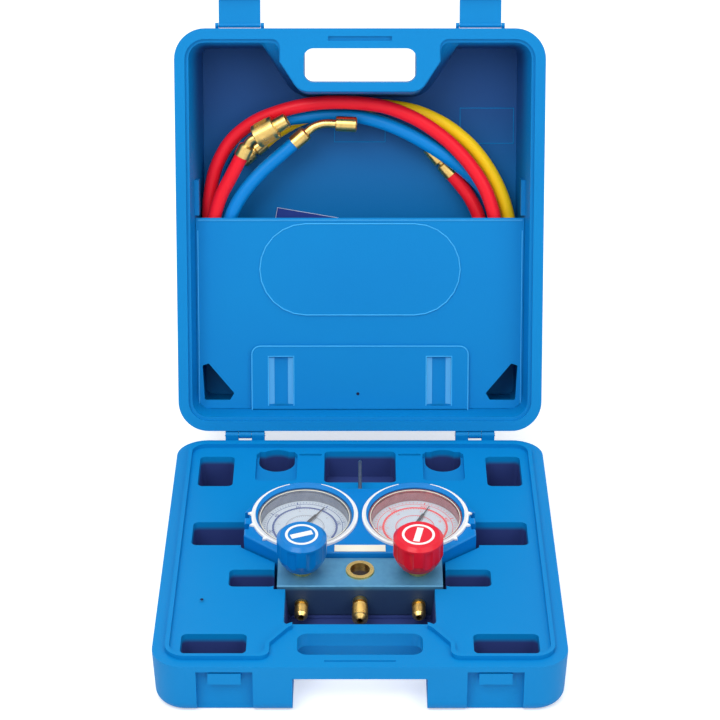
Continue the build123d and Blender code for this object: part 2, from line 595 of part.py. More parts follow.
# ================================================================ sight glass
with BuildPart() as sight_ring:
    turned(
        at(MANIFOLD, 0, GLASS_Y, 0),
        (GLASS_LENS_R, 1.6), (GLASS_RING_R, 1.6), (GLASS_RING_R + 0.4, 0), (GLASS_BORE_R, 0),
        (GLASS_BORE_R, -6), (GLASS_LENS_R, -6),
    )
save(sight_ring, "sight_glass_ring")
with BuildPart() as sight_lens:
    with BuildSketch(at(MANIFOLD, 0, GLASS_Y, -5.5)) as plan:
        Circle(GLASS_LENS_R)
    extrude(plan.sketch, amount=3.0)
save(sight_lens, "sight_glass_lens")

# ================================================================ valves
RUN = 0.06                       # radial running clearance of the stems
STEM_H = -21.5                   # stem's lower end
DISC_R, DISC_T, DISC_GAP = 5.2, 2.0, 0.3
GLAND_R = 6.6
LOBES, LOBE_CUT_R = 8, 7.0
BAR_ANGLES = {"left": 20.0, "right": 78.0}
INLAY_DEPTH, INLAY_PROUD = 1.2, 0.3
DIAL_RING_R, DIAL_RING_T = 14.0, 2.2


def inlay(place, angle, low, high):
    """Pointer ring and bar let into the knob's top."""
    with BuildSketch(place.offset(low)) as plan:
        Circle(DIAL_RING_R)
        Circle(DIAL_RING_R - DIAL_RING_T, mode=Mode.SUBTRACT)
        with Locations(Rotation(0, 0, angle)):
            Rectangle(19.0, 5.4)
    return extrude(plan.sketch, amount=high - low, mode=Mode.PRIVATE)


for name, side in SIDES:
    axis_place = at(MANIFOLD, side * VALVE_X, VALVE_Y, 0)
    with BuildPart() as bonnet:
        turned(
            axis_place,
            (STEM_R + RUN, -BONNET_L), (BONNET_R, -BONNET_L), (BONNET_R, 0), (BONNET_COLLAR_R, 0),
            (BONNET_COLLAR_R, BONNET_COLLAR_H - 1), (BONNET_COLLAR_R - 1, BONNET_COLLAR_H),
            (STEM_R + RUN, BONNET_COLLAR_H),
        )
    save(bonnet, f"valve_bonnet_{name}")
    with BuildPart() as stem:
        turned(axis_place, (0, STEM_H), (STEM_R, STEM_H), (STEM_R, KNOB_TOP - 8), (0, KNOB_TOP - 8))
    save(stem, f"valve_stem_{name}")
    with BuildPart() as disc:
        disc_top = STEM_H - DISC_GAP
        turned(
            axis_place, (0, disc_top - DISC_T), (DISC_R - 1, disc_top - DISC_T),
            (DISC_R, disc_top - 0.8), (DISC_R, disc_top), (0, disc_top),
        )
    save(disc, f"valve_disc_{name}")
    mark = inlay(axis_place, BAR_ANGLES[name], KNOB_TOP - INLAY_DEPTH, KNOB_TOP + INLAY_PROUD)
    with BuildPart() as knob:
        turned(
            axis_place,
            (STEM_R, KNOB_BOTTOM), (KNOB_R - 5.5, KNOB_BOTTOM), (KNOB_R - 2.5, KNOB_BOTTOM + 5),
            (KNOB_R, KNOB_BOTTOM + 11), (KNOB_R, KNOB_TOP - 3), (KNOB_R - 3, KNOB_TOP),
            (0, KNOB_TOP), (0, KNOB_TOP - 8), (STEM_R, KNOB_TOP - 8),
        )
        with BuildSketch(axis_place.offset(KNOB_BOTTOM - 1)) as flutes:
            with PolarLocations(KNOB_R + LOBE_CUT_R - 2.0, LOBES, start_angle=22.5):
                Circle(LOBE_CUT_R)
        extrude(flutes.sketch, amount=KNOB_TOP - KNOB_BOTTOM - 4, mode=Mode.SUBTRACT)
        add(mark, mode=Mode.SUBTRACT)
    save(knob, f"knob_{name}")
    with BuildPart() as knob_mark:
        add(mark)
    save(knob_mark, f"knob_mark_{name}")

# ================================================================ gauges and their housing
CASE_R, CASE_WALL, CASE_FLOOR = 41.0, 1.0, -26.0
CUP_R = CASE_R + 0.5
TEETH = ((98.8, 108.0), (101.0, 92.0), (101.0, 76.0))
RING_SEAT_R = RING_OD / 2
RING_FOOT_R = RING_ID / 2 + 0.1
RING_TOP = 8.0
LOBE_W = 28.0                       # blue stop that closes each ring's gap
LOBE_REACH, LOBE_RISE = 60.0, 20.0  # box that parts stop and ring, past the ring's rim and top
HOUSING_EDGE_R = 1.6                # rounding of the housing's top edge
HOUSING_BACK = WEB[1][1]
HOOK_H, HOOK_SHANK_R, HOOK_SOCKET = -8.0, 1.7, 14.0
LEDGE_R, LENS_R, DIAL_R = 38.6, 39.8, 38.4
LENS_LOW, LENS_T, DIAL_TOP, DIAL_T = 2.0, 2.0, -7.0, 1.0
ARBOR_R, ARBOR_LOW, HUB_R, HUB_LOW, HUB_TOP = 0.9, -12.0, 2.2, -5.6, -4.2
NEEDLE_LOW, NEEDLE_T, NEEDLE_TAIL = -5.4, 0.6, 9.0
NEEDLE = ((0.0, 1.2), (17.0, 0.6), (31.0, 0.25))    # distance from the arbor, half width
NEEDLE_ANGLES = {"left": 57.0, "right": 65.0}
LABEL_X, LABEL_Y, LABEL_T = 22.0, (40.5, 49.0), 0.8


def ring_profile(place):
    """Retaining ring's full turn."""
    turned(
        place, (RING_FOOT_R, HOUSING_TOP), (RING_SEAT_R, HOUSING_TOP), (RING_SEAT_R, RING_TOP - 0.8),
        (RING_SEAT_R - 1.3, RING_TOP), (RING_FOOT_R + 1, HOUSING_TOP + 1.2),
        (RING_FOOT_R, HOUSING_TOP + 0.6),
    )


def gauge_place(side):
    """Plane of one gauge, its origin on the gauge's axis at the block's top level."""
    return at(MANIFOLD, side * GAUGE_X, GAUGE_Y, 0)


lobes = []
for name, side in SIDES:
    place = gauge_place(side)
    with BuildPart() as lobe:
        ring_profile(place)
        block(place, (-LOBE_W / 2 + FIT, LOBE_W / 2 - FIT), (0, LOBE_REACH), (0, LOBE_RISE),
              Mode.INTERSECT)
    lobes.append(lobe.part)
    with BuildPart() as gauge_ring:
        ring_profile(place)
        block(place, (-LOBE_W / 2, LOBE_W / 2), (0, LOBE_REACH), (0, LOBE_RISE), Mode.SUBTRACT)
    save(gauge_ring, f"gauge_ring_{name}")

with BuildPart() as gauge_housing:
    prism(housing_plan(0), MANIFOLD, -BLOCK_H, HOUSING_TOP)
    fillet(gauge_housing.faces().sort_by(Axis(MANIFOLD.origin, MANIFOLD.z_dir))[-1].edges(), HOUSING_EDGE_R)
    for side in (-1, 1):
        place = gauge_place(side)
        turned(place, (0, CASE_FLOOR - 0.5), (CUP_R, CASE_FLOOR - 0.5), (CUP_R, 20), (0, 20),
               mode=Mode.SUBTRACT)
        for x, y in TEETH:
            x0, x1 = sorted((side * (x - 4), side * (x + 6)))
            block(MANIFOLD, (x0, x1), (y - 4, y + 4), (-6, 12), Mode.SUBTRACT)
    for lobe in lobes:
        add(lobe)
    with BuildSketch(Plane(origin=at(MANIFOLD, 0, HOUSING_BACK, HOOK_H).origin,
                           x_dir=MANIFOLD.x_dir, z_dir=-MANIFOLD.y_dir)) as shank:
        Circle(HOOK_SHANK_R + RUN)
    extrude(shank.sketch, amount=HOOK_SOCKET, mode=Mode.SUBTRACT)
save(gauge_housing, "gauge_housing")

with BuildPart() as label_plate:
    block(MANIFOLD, (-LABEL_X, LABEL_X), LABEL_Y, (HOUSING_TOP, HOUSING_TOP + LABEL_T))
save(label_plate, "label_plate")

for name, side in SIDES:
    place = gauge_place(side)
    rim_r = CASE_R - CASE_WALL
    with BuildPart() as gauge_case:
        turned(
            place, (0, CASE_FLOOR), (CASE_R, CASE_FLOOR), (CASE_R, 4.5), (rim_r, 4.5), (rim_r, LENS_LOW),
            (LEDGE_R, LENS_LOW), (LEDGE_R, DIAL_TOP - DIAL_T), (LEDGE_R - 1.2, DIAL_TOP - DIAL_T),
            (LEDGE_R - 1.2, -10), (rim_r, -10), (rim_r, CASE_FLOOR + 1), (3, CASE_FLOOR + 1), (3, -9.5),
            (ARBOR_R + RUN, -9.5), (ARBOR_R + RUN, ARBOR_LOW - FIT), (0, ARBOR_LOW - FIT),
        )
    save(gauge_case, f"gauge_case_{name}")
    with BuildPart() as gauge_dial:
        turned(place, (ARBOR_R + 0.2, DIAL_TOP - DIAL_T), (DIAL_R, DIAL_TOP - DIAL_T), (DIAL_R, DIAL_TOP),
               (ARBOR_R + 0.2, DIAL_TOP))
    save(gauge_dial, f"gauge_dial_{name}")
    with BuildPart() as gauge_lens:
        turned(place, (0, LENS_LOW), (LENS_R, LENS_LOW), (LENS_R, LENS_LOW + LENS_T), (0, LENS_LOW + LENS_T))
    save(gauge_lens, f"gauge_lens_{name}")
    with BuildPart() as pointer:
        turned(place, (0, ARBOR_LOW), (ARBOR_R, ARBOR_LOW), (ARBOR_R, HUB_LOW), (HUB_R, HUB_LOW),
               (HUB_R, HUB_TOP), (0, HUB_TOP))
        with BuildSketch(place.offset(NEEDLE_LOW)) as needle:
            with Locations(Rotation(0, 0, NEEDLE_ANGLES[name])):
                Polygon(
                    (-NEEDLE_TAIL, -NEEDLE[0][1]), *[(r, -w) for r, w in NEEDLE],
                    *[(r, w) for r, w in reversed(NEEDLE)], (-NEEDLE_TAIL, NEEDLE[0][1]), align=None,
                )
        extrude(needle.sketch, amount=NEEDLE_T)
    save(pointer, f"pointer_{name}")

# ================================================================ hanging hook
HOOK_R, HOOK_BEND_Y, HOOK_TIP = 12.0, 185.0, (180.0, -32.0)
HOOK_COLLAR_R, HOOK_COLLAR_L = 3.2, 2.0


def on_manifold(y, h, x=0.0):
    """Point given in the manifold's own coordinates."""
    return at(MANIFOLD, x, y, h).origin


SHANK_END = HOUSING_BACK - HOOK_SOCKET + FIT
with BuildPart() as hook:
    with BuildLine() as wire:
        Line(on_manifold(SHANK_END, HOOK_H), on_manifold(HOOK_BEND_Y, HOOK_H))
        ThreePointArc(
            on_manifold(HOOK_BEND_Y, HOOK_H), on_manifold(HOOK_BEND_Y + HOOK_R, HOOK_H - HOOK_R),
            on_manifold(HOOK_BEND_Y, HOOK_H - 2 * HOOK_R),
        )
        Line(on_manifold(HOOK_BEND_Y, HOOK_H - 2 * HOOK_R), on_manifold(*HOOK_TIP))
    with BuildSketch(Plane(origin=wire.line @ 0, z_dir=wire.line % 0)) as wire_section:
        Circle(HOOK_SHANK_R)
    sweep(wire_section.sketch, path=wire.line)
    with BuildSketch(Plane(origin=on_manifold(HOUSING_BACK + FIT, HOOK_H), z_dir=MANIFOLD.y_dir)) as collar:
        Circle(HOOK_COLLAR_R)
    extrude(collar.sketch, amount=HOOK_COLLAR_L)
save(hook, "hook")

# ================================================================ hoses
HOSE_D, HOSE_BORE_D = 12.7, 4.8
RUN_SHARE = 0.45                    # part of the shorter run that each bend takes up
# centre lines: across the lid, from the hinge towards the handle, and down into the compartment
RED_ROUTE = (
    (-110.6, 259, 28), (-121, 239, 30.5), (-131, 221, 32.5), (-138, 198, 33.5), (-141, 170, 33.5),
    (-136.5, 138, 33.5), (-121.5, 104, 33.5), (-97, 74, 33.5), (-63, 51.5, 33.5), (-24, 40.5, 33.5),
    (17, 40, 33.5), (56, 51, 33.5), (89, 73, 33.5), (113, 103, 33.5), (126.5, 138, 33.5),
    (130, 172, 33.5), (126.8, 202, 33.5), (117.5, 229.5, 33.5), (101.5, 253.5, 33.5), (81, 274.5, 33.5),
    (55.5, 292.5, 33.5), (26, 305, 33.5), (-6, 309.2, 33.5), (-38, 309, 33.5), (-68, 303, 36),
    (-98, 291.8, 42), (-121.5, 273.5, 46.4), (-136, 248, 46.4), (-142.5, 218, 46.4),
    (-143.5, 185, 46.4), (-140, 151, 46.4), (-129.5, 116.5, 46.6), (-107, 83, 46.8), (-75, 60, 46.6),
    (-38, 47.5, 46.4), (1, 46, 46.4), (38, 54, 46.4), (70.5, 73.5, 46.4), (95.5, 102, 46.3),
    (111, 136, 46.3), (116, 168, 48), (113.5, 199, 51), (103, 220, 53), (87, 239, 54.8),
)
BLUE_ROUTE = (
    (-62, 270.6, 33.5), (-75.5, 259, 33.5), (-92, 244.5, 33.5), (-106.5, 228.5, 33.5),
    (-118, 211, 33.5), (-125, 190, 33.5), (-127, 166, 33.5), (-121.5, 138, 33.5), (-107.5, 108, 33.5),
    (-84, 84, 33.5), (-58, 69, 37), (-29, 61.5, 43), (2, 60.5, 50), (32, 66, 57), (60, 78, 59.3),
    (85, 96, 59.3), (105, 120, 59.3), (120, 148, 59.3), (128, 178, 59.4), (127, 206, 57.5),
    (115.5, 228, 52.5), (96.5, 246, 45.5), (76.5, 261, 39.5), (52, 276, 39.5), (25, 288.5, 43),
    (-4, 295.8, 46), (-33, 296.3, 45.9), (-60, 293.7, 46.8), (-84, 289.4, 51.2), (-106, 281, 57.5),
    (-124, 264.5, 59.3), (-136, 242, 59.3), (-141.5, 215, 59.3), (-141, 188, 59.3), (-133, 160, 57),
    (-118, 136, 50.4), (-99, 112, 45.2), (-72, 92.5, 45.6), (-42, 80.5, 45.8), (-9, 76.5, 46),
    (23, 81, 46.4),
)
YELLOW_ROUTE = (
    (-90, 269.5, 58.5), (-78, 279.5, 59.5), (-61, 289.3, 59.5), (-37, 298.5, 59.5), (-8, 303.5, 57),
    (24, 304.8, 51.5), (55, 299.5, 47.5), (82, 286.5, 46.4), (104.5, 268, 46.4), (121.5, 246, 46.4),
    (134, 221.5, 46.4), (141.5, 195, 46.4), (143.5, 166, 46.4), (139, 135, 48), (126.5, 104, 52),
    (105.5, 75, 57), (77.5, 52, 59.3), (43, 38, 59.3), (6, 33.5, 59.3), (-31, 38.5, 59.3),
    (-63, 53.5, 59.5), (-87, 78.5, 59.7), (-100, 110, 59.3), (-100, 143, 58.6),
)
ROUTES = {"red": RED_ROUTE, "blue": BLUE_ROUTE, "yellow": YELLOW_ROUTE}


def in_lid(u, v, w):
    """Point in the lid: across, from the hinge axis towards the handle, and from the rim inwards."""
    return at(LID, u, HINGE_Y - v, HINGE_Z + w).origin


def bend_radii(points):
    """Radius of each corner's arc, as large as its two runs allow."""
    radii = []
    for before, corner, after in zip(points, points[1:], points[2:]):
        run_in, run_out = corner - before, after - corner
        half_turn = radians(run_in.get_angle(run_out)) / 2
        radii.append(RUN_SHARE * min(run_in.length, run_out.length) / tan(half_turn))
    return radii


for name, stations in ROUTES.items():
    points = [in_lid(*station) for station in stations]
    radii = bend_radii(points)
    with BuildPart() as hose:
        with BuildLine() as route:
            FilletPolyline(*points, radius=radii)
        with BuildSketch(Plane(origin=route.line @ 0, z_dir=route.line % 0)) as hose_section:
            Circle(HOSE_D / 2)
            Circle(HOSE_BORE_D / 2, mode=Mode.SUBTRACT)
        sweep(hose_section.sketch, path=route.line)
    save(hose, f"hose_{name}")
    length = sum(edge.length for edge in route.line.edges())
    ideal = hose_section.sketch.area * length
    print(f"hose_{name}: length {length:.0f}, radii {min(radii):.0f} to {max(radii):.0f},",
          f"volume {hose.part.volume:.0f} of {ideal:.0f}")

# ================================================================ hose ends
FERRULE_R, TAIL_R, TAIL_FLANGE_R = 7.2, 4.0, 5.0
NUT_LIP = 8.0                       # nut's inner shoulder, behind the tail's flange
NUT_BORE_R = FLARE_R + 0.05


def rod(radius, points, mode=Mode.ADD):
    """Round rod along the points, each bend as large as its runs allow."""
    with BuildLine() as route:
        if len(points) > 2:
            FilletPolyline(*points, radius=bend_radii(points))
        else:
            Line(*points)
    with BuildSketch(Plane(origin=points[0], z_dir=points[1] - points[0])) as round_section:
        Circle(radius)
    sweep(round_section.sketch, path=route.line, mode=mode)


def end_fitting(name, start, heading, ferrule_l, nut_r, nut_l, bends=(), stub_l=0.0):
    """Crimped ferrule with its tail, and the nut that turns on the tail; the tail may be bent."""
    crimp_end = start + heading * ferrule_l
    way = (bends[-1] - bends[-2]).normalized() if bends else heading
    nut_start = bends[-1] if bends else crimp_end + way * 2
    flange = nut_start + way * (NUT_LIP + 0.5)
    nut_place = Plane(origin=nut_start, z_dir=way)
    with BuildPart() as ferrule:
        turned(Plane(origin=start, z_dir=heading), (0, 0), (FERRULE_R, 0), (FERRULE_R, ferrule_l - 1.5),
               (FERRULE_R - 1.5, ferrule_l), (0, ferrule_l))
        rod(TAIL_R, [crimp_end - heading, *bends[:-1], flange])
        turned(Plane(origin=flange, z_dir=way), (0, -0.5), (TAIL_R - 0.5, -0.5), (TAIL_R - 0.5, 0),
               (TAIL_R, 0), (TAIL_FLANGE_R, 0.5), (TAIL_FLANGE_R, 1.5), (BORE_R + 0.6, 3), (0, 3))
        rod(BORE_R, [start - heading, *bends[:-1], flange + way * 4], Mode.SUBTRACT)
    save(ferrule, f"ferrule_{name}")
    with BuildPart() as nut:
        turned(nut_place, (TAIL_R + RUN, 0.5), (nut_r - 0.8, 0.5), (nut_r, 1.3), (nut_r, nut_l - 0.8),
               (nut_r - 0.8, nut_l), (NUT_BORE_R, nut_l), (NUT_BORE_R, NUT_LIP), (TAIL_R + RUN, NUT_LIP))
        if stub_l:
            turned(nut_place, (NUT_BORE_R, nut_l - 2), (FERRULE_R - 0.2, nut_l - 2),
                   (FERRULE_R - 0.2, nut_l + stub_l), (NUT_BORE_R, nut_l + stub_l))
    save(nut, f"nut_{name}")


def hose_tip(route, far):
    """Start point and outward heading of a hose's end."""
    stations = route[-2:] if far else route[1::-1]
    inner, tip = [in_lid(*station) for station in stations]
    return tip, (tip - inner).normalized()


BLUE_TAIL = ((-44.0, 286.0, 33.5), (-34.0, 289.6, 33.0), (-23.0, 289.2, 32.5))
RED_TAIL = ((-102.8, 274.0, 26.2), (-97.4, 277.0, 25.5))

ENDS = (
    # name, route, far end, ferrule's length, nut's radius and length, bent tail, stub
    ("blue_manifold", BLUE_ROUTE, False, 16.0, 7.1, 20.0, BLUE_TAIL, 0.0),
    ("blue_tank", BLUE_ROUTE, True, 16.0, 7.1, 18.0, (), 0.0),
    ("red_manifold", RED_ROUTE, False, 12.0, 11.0, 22.0, RED_TAIL, 12.0),
    ("red_tank", RED_ROUTE, True, 14.0, 7.1, 18.0, (), 0.0),
    ("yellow_manifold", YELLOW_ROUTE, False, 12.0, 7.1, 14.0, (), 0.0),
    ("yellow_tank", YELLOW_ROUTE, True, 16.0, 7.1, 18.0, (), 0.0),
)
for name, route, far, ferrule_l, nut_r, nut_l, tail_route, stub_l in ENDS:
    start, heading = hose_tip(route, far)
    bends = [in_lid(*station) for station in tail_route]
    end_fitting(name, start, heading, ferrule_l, nut_r, nut_l, bends, stub_l)
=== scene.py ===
"""Dresses the refrigerant manifold gauge set in its open carry case.

The frame brings every solid piece. This script gives each one its finish, with painted shade down in the
tray's pockets, in the lid's compartment and on the block's sides and a painted reflection on the right gauge's
can, prints the two dials, adds the knurl, the thread crests, the tabs and crescents of the gauge rings, the pale
beads and strips that paint highlights along the moulded lines of the hose pocket and two near-black discs of
painted shade for vent holes, stands a blank card in the pocket, and sets the light and the camera.
"""
import json
import logging
import math
from dataclasses import dataclass, field
from enum import Enum
from functools import cache, cached_property
from typing import Callable, Dict, List, Optional, Sequence, Tuple

import bpy
from mathutils import Matrix, Vector

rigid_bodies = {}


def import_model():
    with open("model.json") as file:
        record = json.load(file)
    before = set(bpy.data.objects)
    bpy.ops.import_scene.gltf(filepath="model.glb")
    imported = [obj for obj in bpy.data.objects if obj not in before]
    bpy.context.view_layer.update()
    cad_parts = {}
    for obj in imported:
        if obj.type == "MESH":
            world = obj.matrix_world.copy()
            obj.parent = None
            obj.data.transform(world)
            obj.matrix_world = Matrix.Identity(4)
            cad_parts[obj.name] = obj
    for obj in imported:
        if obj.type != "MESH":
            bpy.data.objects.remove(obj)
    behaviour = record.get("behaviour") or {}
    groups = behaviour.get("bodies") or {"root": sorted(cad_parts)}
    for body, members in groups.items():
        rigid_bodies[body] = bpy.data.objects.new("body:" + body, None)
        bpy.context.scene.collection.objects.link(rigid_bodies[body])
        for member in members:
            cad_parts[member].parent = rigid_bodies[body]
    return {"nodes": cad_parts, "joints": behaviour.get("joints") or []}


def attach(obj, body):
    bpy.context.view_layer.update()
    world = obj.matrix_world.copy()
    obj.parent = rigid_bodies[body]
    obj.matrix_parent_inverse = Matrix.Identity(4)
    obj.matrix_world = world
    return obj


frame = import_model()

logging.basicConfig(level=logging.INFO, format="%(message)s")
LOG = logging.getLogger("manifold_set")

Colour = Triple = Tuple[float, float, float]
Flat = Sequence[Tuple[float, float]]
Piece = bpy.types.Object
Outlet = bpy.types.NodeSocket
SIDES = (("left", -1), ("right", 1))
MM = 0.001
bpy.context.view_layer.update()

TILT = math.radians(6.5)
SEAT = Vector((0.0, -68.3 * MM, 47.4 * MM))
OPEN_ANGLE = math.radians(107.05)
HINGE = Vector((0.0, 191.5 * MM, 50.0 * MM))
GAUGE_X, GAUGE_Y = 48.5, 90.5
DIAL_TOP = -7.0


def manifold_matrix(x: float = 0.0, y: float = 0.0, h: float = 0.0) -> Matrix:
    """Placement on the manifold's tilted plane.

    Args:
        x: across, in millimetres.
        y: along the block towards the hook, in millimetres.
        h: above the block's top, in millimetres.

    Returns:
        A matrix from local metres to the row frame.
    """
    return Matrix.Translation(SEAT) @ Matrix.Rotation(TILT, 4, "X") @ Matrix.Translation((x * MM, y * MM, h * MM))


def lid_point(u: float, v: float, w: float) -> Vector:
    """Point of the open lid.

    Args:
        u: across, in millimetres.
        v: from the hinge axis towards the handle, in millimetres.
        w: from the lid's rim inwards, in millimetres.

    Returns:
        The point in the row frame, in metres.
    """
    local = Vector((u, -v, w)) * MM
    return HINGE + Matrix.Rotation(-OPEN_ANGLE, 3, "X") @ local


# ---- node trees
class Socket(Enum):
    """Kinds of group socket."""

    COLOUR = "NodeSocketColor"
    VALUE = "NodeSocketFloat"
    VECTOR = "NodeSocketVector"
    WHOLE = "NodeSocketInt"
    MATERIAL = "NodeSocketMaterial"
    GEOMETRY = "NodeSocketGeometry"


@dataclass
class Wiring:
    """A node tree under construction."""

    tree: bpy.types.NodeTree

    def feed(self, target: Outlet, value: object) -> None:
        """Gives an input socket a link or a value.

        Args:
            target: the input socket.
            value: the output socket to link, or the value itself.
        """
        if isinstance(value, Outlet):
            self.tree.links.new(value, target)
        else:
            target.default_value = value

    def add(self, kind: str, inputs: Optional[Dict[object, object]] = None, **settings: object) -> bpy.types.Node:
        """Adds a node.

        Args:
            kind: the node's type.
            inputs: input name or number to the socket or value that feeds it.
            settings: the node's own properties.

        Returns:
            The node.
        """
        node = self.tree.nodes.new(kind)
        for label, value in settings.items():
            setattr(node, label, value)
        for label, value in (inputs or {}).items():
            self.feed(node.inputs[label], value)
        return node

    def math(self, operation: str, *values: object) -> Outlet:
        """Adds a Math node."""
        return self.add("ShaderNodeMath", dict(enumerate(values)), operation=operation).outputs[0]


class NamedTree(Wiring):
    """Node group with named sockets."""

    kind = "ShaderNodeTree"

    def __init__(self, name: str, inputs: Dict[str, Tuple[Socket, object]], outputs: Dict[str, Socket]) -> None:
        """Makes the group with its sockets.

        Args:
            name: the group's name.
            inputs: name to kind and default of each input.
            outputs: name to kind of each output.
        """
        super().__init__(bpy.data.node_groups.new(name, self.kind))
        self.ids: Dict[str, str] = {}
        for label, (sort, default) in inputs.items():
            socket = self.tree.interface.new_socket(label, in_out="INPUT", socket_type=sort.value)
            if default is not None:
                socket.default_value = default
            self.ids[label] = socket.identifier
        for label, sort in outputs.items():
            self.tree.interface.new_socket(label, in_out="OUTPUT", socket_type=sort.value)
        self.source = self.tree.nodes.new("NodeGroupInput").outputs
        self.sink = self.tree.nodes.new("NodeGroupOutput").inputs


# ---- shader groups
class ShaderGroup(NamedTree):
    """Shader group that works on object coordinates."""

    @cached_property
    def spot(self) -> Outlet:
        """Object coordinates."""
        return self.add("ShaderNodeTexCoord").outputs["Object"]

    def noise(self, scale: object, detail: float) -> Outlet:
        """Adds a noise over the surface."""
        return self.add("ShaderNodeTexNoise", {"Vector": self.spot, "Scale": scale, "Detail": detail}).outputs["Fac"]

    def share(self, value: Outlet, low: object, high: object, strength: Outlet,
              interpolation: str = "LINEAR") -> Outlet:
        """Maps a value from low..high to 0..strength, clamped.

        Args:
            value: the value.
            low: where the share starts, as a socket or a number.
            high: where it is full, as a socket or a number.
            strength: the full share.
            interpolation: kind of rise between low and high.

        Returns:
            The share's socket.
        """
        rise = self.add("ShaderNodeMapRange", {"Value": value, "From Min": low, "From Max": high},
                        interpolation_type=interpolation)
        return self.math("MULTIPLY", rise.outputs["Result"], strength)

    def tint(self, amount: Outlet, other: str) -> None:
        """Mixes the input Colour with another input and gives the result out as Colour.

        Args:
            amount: share of the other colour.
            other: name of the other colour's input.
        """
        mixed = self.add("ShaderNodeMix", {0: amount, 6: self.source["Colour"], 7: self.source[other]},
                         data_type="RGBA")
        self.feed(self.sink["Colour"], mixed.outputs[2])

    def relief(self, height: Outlet, uneven: Outlet, amount: float) -> None:
        """Gives out the height and an uneven gloss."""
        self.feed(self.sink["Height"], height)
        self.feed(self.sink["Roughness"], self.math("MULTIPLY_ADD", uneven, amount, self.source["Roughness"]))


GREY = (0.5, 0.5, 0.5, 1.0)
SKIN_OUTPUTS = {"Colour": Socket.COLOUR, "Roughness": Socket.VALUE, "Height": Socket.VALUE}


@cache
def grain_group() -> ShaderGroup:
    """Moulded-skin grain: fine pebble height, mottled colour and uneven gloss.

    Returns:
        Group with inputs Colour, Shade, Mottle, Grain and Roughness, and outputs Colour, Roughness, Height.
    """
    made = ShaderGroup("moulded_grain", {
        "Colour": (Socket.COLOUR, GREY), "Shade": (Socket.COLOUR, GREY), "Mottle": (Socket.VALUE, 0.2),
        "Grain": (Socket.VALUE, 900.0), "Roughness": (Socket.VALUE, 0.5)}, SKIN_OUTPUTS)
    cloud = made.noise(9.0, 3.0)
    made.tint(made.share(cloud, 0.35, 0.75, made.source["Mottle"]), "Shade")
    made.relief(made.noise(made.source["Grain"], 2.0), cloud, 0.12)
    return made


@cache
def depth_group() -> ShaderGroup:
    """Painted shade: darkening of a surface towards a shade colour by distance along an axis, as down in deep
    recesses.

    Returns:
        Group with inputs Colour, Deep, Direction, Start, End and Strength, and output Colour.
    """
    made = ShaderGroup("painted_shade_tint", {
        "Colour": (Socket.COLOUR, GREY), "Deep": (Socket.COLOUR, GREY),
        "Direction": (Socket.VECTOR, (0.0, 0.0, 1.0)), "Start": (Socket.VALUE, 0.0),
        "End": (Socket.VALUE, 1.0), "Strength": (Socket.VALUE, 0.5)}, {"Colour": Socket.COLOUR})
    along = made.add("ShaderNodeVectorMath", {0: made.spot, 1: made.source["Direction"]},
                     operation="DOT_PRODUCT").outputs["Value"]
    made.tint(made.share(along, made.source["Start"], made.source["End"], made.source["Strength"],
                         "SMOOTHSTEP"), "Deep")
    return made


@cache
def turning_group() -> ShaderGroup:
    """Machined metal: tool marks, tarnish patches and uneven gloss.

    Returns:
        Group with inputs Colour, Tarnish, Amount and Roughness, and outputs Colour, Roughness, Height.
    """
    made = ShaderGroup("machined_metal", {
        "Colour": (Socket.COLOUR, GREY), "Tarnish": (Socket.COLOUR, GREY), "Amount": (Socket.VALUE, 0.3),
        "Roughness": (Socket.VALUE, 0.25)}, SKIN_OUTPUTS)
    patches = made.noise(160.0, 4.0)
    made.tint(made.share(patches, 0.4, 0.7, made.source["Amount"]), "Tarnish")
    made.relief(made.noise(1500.0, 2.0), patches, 0.2)
    return made


# ---- finishes
@dataclass(frozen=True)
class Hollow:
    """Painted shade: a darker colour that a finish takes on beyond a depth along a direction."""

    colour: Colour
    direction: Triple
    start: float
    end: float
    strength: float = 0.9
    beyond: Optional["Hollow"] = None

    def tint(self, wires: Wiring, colour: object) -> Outlet:
        """Darkens a colour with the painted shade, further along the direction.

        Args:
            wires: the material's wiring.
            colour: the colour, as a socket or four numbers.

        Returns:
            The socket that carries the result.
        """
        deep = (*self.colour, 1.0)
        node = wires.add("ShaderNodeGroup", {
            "Colour": colour, "Deep": self.beyond.tint(wires, deep) if self.beyond else deep,
            "Direction": self.direction, "Start": self.start, "End": self.end,
            "Strength": self.strength}, node_tree=depth_group().tree)
        return node.outputs["Colour"]


@dataclass(frozen=True)
class Finish:
    """A finish on one or more pieces."""

    name: str
    colour: Colour

    def start(self) -> Tuple[bpy.types.Material, bpy.types.Node]:
        """New material with its Principled shader.

        Returns:
            The material and its Principled node.
        """
        material = bpy.data.materials.new(self.name)
        material.use_nodes = True
        material.diffuse_color = (*self.colour, 1.0)
        shader = material.node_tree.nodes["Principled BSDF"]
        shader.inputs["Base Color"].default_value = (*self.colour, 1.0)
        return material, shader

    def material(self) -> bpy.types.Material:
        """Builds the finish."""
        return self.start()[0]


